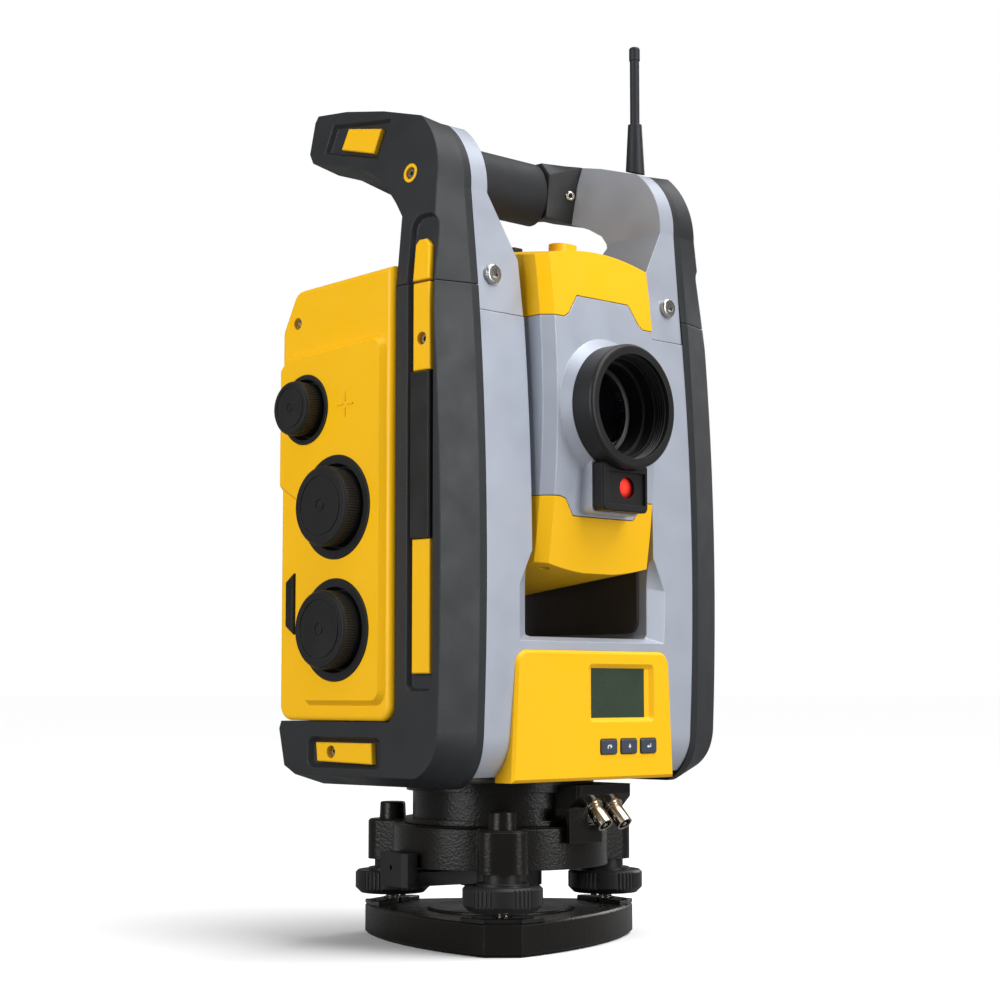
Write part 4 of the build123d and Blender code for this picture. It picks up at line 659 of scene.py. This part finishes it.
def add_knob_ribs(node):
    """Half-round ribs along one knob's rim, clear of its bezel. Gives back how many."""
    low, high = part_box(node)
    middle = (low + high) / 2
    radius = (high.z - low.z) / 2
    start, end = low.x + RIB_START, low.x + RIB_END
    count = round(2 * math.pi * radius / RIB_PITCH)
    half = 0.28 * RIB_PITCH / radius
    shoulder = 0.7 * RIB_HEIGHT
    section = [
        (-half * 1.3, RIB_ROOT), (-half, shoulder), (0, RIB_HEIGHT), (half, shoulder),
        (half * 1.3, RIB_ROOT),
    ]
    points, faces = [], []
    for rib in range(count):
        turn = 2 * math.pi * rib / count
        first = len(points)
        for x, trim in ((start, 0.5), (start + RIB_LEAD_IN, 1.0), (end, 1.0)):
            for swing, lift in section:
                reach = radius + (lift if lift < 0 else lift * trim)
                angle = turn + swing
                points.append((x, middle.y + reach * math.cos(angle), middle.z + reach * math.sin(angle)))
        for row in range(2):
            for i in range(4):
                a = first + row * 5 + i
                faces.append([a, a + 1, a + 6, a + 5])
        faces.append([first + i for i in reversed(range(5))])
        faces.append([first + 10 + i for i in range(5)])
    add_piece(node + "_ribs", points, faces, KNOB_PLASTIC, node)
    return count


for knob in ("focus_knob", "vertical_knob", "horizontal_knob"):
    print(knob, "has", add_knob_ribs(knob), "ribs")

# %% [markdown]
# ## Tilting-axis mark
# A fine raised cross on the knob side shows the height of the tilting axis, which a surveyor measures to
# with a tape. Its four arms stop short of the middle. The axle's own centre gives its place.

# %% Raise the cross on the cover
low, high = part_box("trunnion_axle")
axis_y, axis_z = (low.y + high.y) / 2, (low.z + high.z) / 2
cover_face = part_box("knob_side_cover")[0].x
ARM_START, ARM_END, ARM_HALF = 1.4, 5.4, 0.35
ARM_RAISED = 0.35 * MM
arms = [
    [(ARM_START, -ARM_HALF), (ARM_END, -ARM_HALF), (ARM_END, ARM_HALF), (ARM_START, ARM_HALF)],
    [(-ARM_END, -ARM_HALF), (-ARM_START, -ARM_HALF), (-ARM_START, ARM_HALF), (-ARM_END, ARM_HALF)],
    [(-ARM_HALF, ARM_START), (ARM_HALF, ARM_START), (ARM_HALF, ARM_END), (-ARM_HALF, ARM_END)],
    [(-ARM_HALF, -ARM_END), (ARM_HALF, -ARM_END), (ARM_HALF, -ARM_START), (-ARM_HALF, -ARM_START)],
]


def on_cover(a, b, height):
    return (cover_face - height, axis_y + a * MM, axis_z + b * MM)


points, faces = add_prisms(arms, on_cover, 0.0, ARM_RAISED)
add_piece("axis_mark", points, faces, YELLOW_SHELL, "knob_side_cover")
print("axis mark height in mm:", round(axis_z / MM, 1))

# %% [markdown]
# ## Filter thread and retaining ring
# Inside its mouth the objective barrel has a fine thread and, deeper down, a ring that holds the glass.
# Thin closed rings show both and catch small highlights in the dark bore.

# %% Add rings inside the objective barrel
low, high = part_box("objective_barrel")
mouth = Vector(((low.x + high.x) / 2, low.y, (low.z + high.z) / 2))
INWARD, UPWARD = (0, 1, 0), (0, 0, 1)
BORE = 24.3 * MM
FIRST_THREAD, THREAD_PITCH, THREAD_WIDTH = 2.2 * MM, 1.4 * MM, 0.7 * MM
ROOT, CREST = BORE + 0.02 * MM, BORE - 0.45 * MM
for number in range(4):
    front = FIRST_THREAD + THREAD_PITCH * number
    profile = [(ROOT, front), (CREST, front + THREAD_WIDTH / 2), (ROOT, front + THREAD_WIDTH)]
    points, faces = turned_ring(mouth, INWARD, profile)
    name = f"filter_thread_{number + 1}"
    add_piece(name, points, faces, KNOB_PLASTIC, "objective_barrel")
lens_low, lens_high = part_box("objective_lens")
lens_radius = (lens_high.z - lens_low.z) / 2
glass = lens_low.y - low.y
profile = [
    (lens_radius * 0.90, glass - 0.9 * MM), (lens_radius * 0.99, glass - 1.6 * MM),
    (lens_radius * 0.99, glass - 0.3 * MM), (lens_radius * 0.90, glass - 0.3 * MM),
]
points, faces = turned_ring(mouth, INWARD, profile)
add_piece("lens_retaining_ring", points, faces, STRIP_BLACK, "objective_barrel")
print("rings added in a bore of", round(BORE / MM * 2, 1), "mm")

# %% [markdown]
# ## Grip screws
# A small socket screw pins each end of the grip. Its head is turned from one profile: a flat rim, a rounded
# edge and a deep socket. It stands square to the sloping face of the end block, one on each side.

# %% Add the two grip screws
SOCKET, HEAD_RADIUS, SUNK = 1.1 * MM, 2.6 * MM, -0.6 * MM
HEAD = [
    (SOCKET, SUNK), (SOCKET, 0.75 * MM), (1.4 * MM, 0.95 * MM), (2.2 * MM, 0.9 * MM),
    (HEAD_RADIUS, 0.5 * MM), (HEAD_RADIUS, SUNK),
]
SOCKET_FLOOR = [(0.05 * MM, SUNK), (0.05 * MM, 0.0), (SOCKET, 0.0), (SOCKET, SUNK)]
for side, tag in ((1, "battery"), (-1, "knob")):
    seat = Vector((side * 56.9, 6.2, 372.8)) * MM
    outward = (-side * 0.34, -0.92, -0.17)
    points, faces = turned_ring(seat, outward, HEAD, sides=48)
    add_piece(f"grip_screw_{tag}_side", points, faces, BRIGHT_STEEL, "upper_bumpers", smooth=True)
    # The socket floor's dark plastic is painted shade at the bottom of the deep socket.
    points, faces = turned_ring(seat, outward, SOCKET_FLOOR, sides=24)
    add_piece(f"grip_socket_{tag}_side", points, faces, DARK_PLASTIC_AND_PAINTED_SHADE, "upper_bumpers")
print("grip screws added:", 2)

# %% [markdown]
# ## Bubble and target ring
# A circular level works by centring an air bubble inside a printed ring. Both are tiny, yet they tell the
# reader what the glass is. The ring lies on the glass and the bubble is a flattened dome just under it.

# %% Add the level's ring and bubble
low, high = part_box("level_vial")
top = Vector(((low.x + high.x) / 2, (low.y + high.y) / 2, high.z))
INNER, OUTER, THICK = 2.6 * MM, 3.0 * MM, 0.06 * MM
ring_profile = [(INNER, 0), (INNER, THICK), (OUTER, THICK), (OUTER, 0)]
points, faces = turned_ring(top, UPWARD, ring_profile, sides=48)
add_piece("level_target_ring", points, faces, STRIP_BLACK, "level_vial")
dome = [(0.05 * MM, 0.35 * MM), (1.2 * MM, 0.28 * MM), (1.9 * MM, 0.1 * MM), (2.0 * MM, 0.01 * MM),
        (0.05 * MM, 0.01 * MM)]
points, faces = turned_ring(top, UPWARD, dome, sides=32)
add_piece("level_bubble", points, faces, SYMBOL_WHITE, "level_vial", smooth=True)
print("bubble 4 mm across")

# %% [markdown]
# ## Floor, light and camera
# A plain pale floor and a white world keep attention on the object. One very broad sun gives the floor its
# even brightness and soft shadow, and large panels draw long highlights along the dark bumpers and the
# barrel. A white floor would also throw light back up into every recess, so the floor is white to the
# camera and grey to other rays.

# %% Lay the floor
def lay_floor():
    """A wide pale floor just under the object."""
    mesh = bpy.data.meshes.new("studio_floor")
    reach = 60.0
    corners = [(-reach, -reach, 0), (reach, -reach, 0), (reach, reach, 0), (-reach, reach, 0)]
    mesh.from_pydata(corners, [], [(0, 1, 2, 3)])
    floor = bpy.data.objects.new("studio_floor", mesh)
    bpy.context.scene.collection.objects.link(floor)
    paint = bpy.data.materials.new("floor paint")
    paint.use_nodes = True
    tree = paint.node_tree
    shader = tree.nodes["Principled BSDF"]
    shader.inputs["Roughness"].default_value = 0.75
    shader.inputs["Specular IOR Level"].default_value = 0.1
    tone = place_effect(tree, TONE_DRIFT, Colour=(0.93, 0.93, 0.935, 1.0), Amount=0.015, Scale=3.0)
    ray = add_node(tree, "LightPath")
    bounce = add_node(tree, "Mix", data_type="RGBA")
    bounce.inputs[6].default_value = (0.22, 0.22, 0.22, 1.0)
    tree.links.new(ray.outputs["Is Camera Ray"], bounce.inputs["Factor"])
    tree.links.new(tone.outputs["Colour"], bounce.inputs[7])
    tree.links.new(bounce.outputs[2], shader.inputs["Base Color"])
    mesh.materials.append(paint)
    floor.location.z = CAD_LOW.z - 0.1 * MM
    floor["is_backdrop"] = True


lay_floor()
print("floor laid")

# %% Set the world and the lights
def light_the_world():
    """A world that looks white behind the object but lights it more gently."""
    world = bpy.data.worlds.new("white studio")
    bpy.context.scene.world = world
    world.use_nodes = True
    tree = world.node_tree
    background = tree.nodes["Background"]
    background.inputs["Color"].default_value = (1.0, 1.0, 1.0, 1.0)
    ray = add_node(tree, "LightPath")
    level = add_node(tree, "MapRange")
    level.inputs["To Min"].default_value = 0.16
    level.inputs["To Max"].default_value = 1.0
    tree.links.new(ray.outputs["Is Camera Ray"], level.inputs["Value"])
    tree.links.new(level.outputs["Result"], background.inputs["Strength"])


def add_light(name, kind, where, target, power, size):
    """A sun or a rectangular panel that faces its target."""
    lamp = bpy.data.lights.new(name, kind)
    lamp.energy = power
    if kind == "AREA":
        lamp.shape = "RECTANGLE"
        lamp.size, lamp.size_y = size
    else:
        lamp.angle = size
    holder = bpy.data.objects.new(name, lamp)
    holder.location = where
    holder.rotation_mode = "QUATERNION"
    holder.rotation_quaternion = (Vector(target) - Vector(where)).to_track_quat("-Z", "Y")
    bpy.context.scene.collection.objects.link(holder)


light_the_world()
CENTRE = (0.0, 0.0, 0.22)
add_light("broad_sun", "SUN", (0.5, -1.1, 2.6), CENTRE, 3.4, math.radians(60))
add_light("left_panel", "AREA", (-1.6, 0.15, 0.45), CENTRE, 23.0, (0.9, 1.3))
add_light("front_panel", "AREA", (0.35, -1.7, 0.55), CENTRE, 19.0, (0.8, 1.2))
add_light("rim_panel", "AREA", (1.3, 0.2, 0.7), CENTRE, 5.0, (0.35, 1.2))
bpy.context.scene.view_settings.view_transform = "Standard"

# %% Place the camera
camera_data = bpy.data.cameras.new("studio_camera")
camera_data.lens = 75.6
camera_data.sensor_width = 36.0
camera = bpy.data.objects.new("studio_camera", camera_data)
bpy.context.scene.collection.objects.link(camera)
camera.location = (-0.7175, -0.7250, 0.1175)
HEADING, PITCH = math.radians(44.7), math.radians(5.265)
level = math.cos(PITCH)
forward = Vector((math.sin(HEADING) * level, math.cos(HEADING) * level, math.sin(PITCH)))
camera.rotation_mode = "QUATERNION"
camera.rotation_quaternion = forward.to_track_quat("-Z", "Y")
camera_data.clip_start, camera_data.clip_end = 0.01, 200.0
bpy.context.scene.camera = camera
print("camera distance in m:", round(camera.location.length, 2))

# %% [markdown]
# ## Check the size
# The dressed model must stay as big as the CAD model. The largest growth of the dressed box past the CAD
# box is printed.

# %% Compare the boxes
new_low, new_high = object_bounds()
growth = max(max(CAD_LOW[i] - new_low[i], new_high[i] - CAD_HIGH[i]) for i in range(3))
print("largest growth in mm:", round(growth / MM, 3))
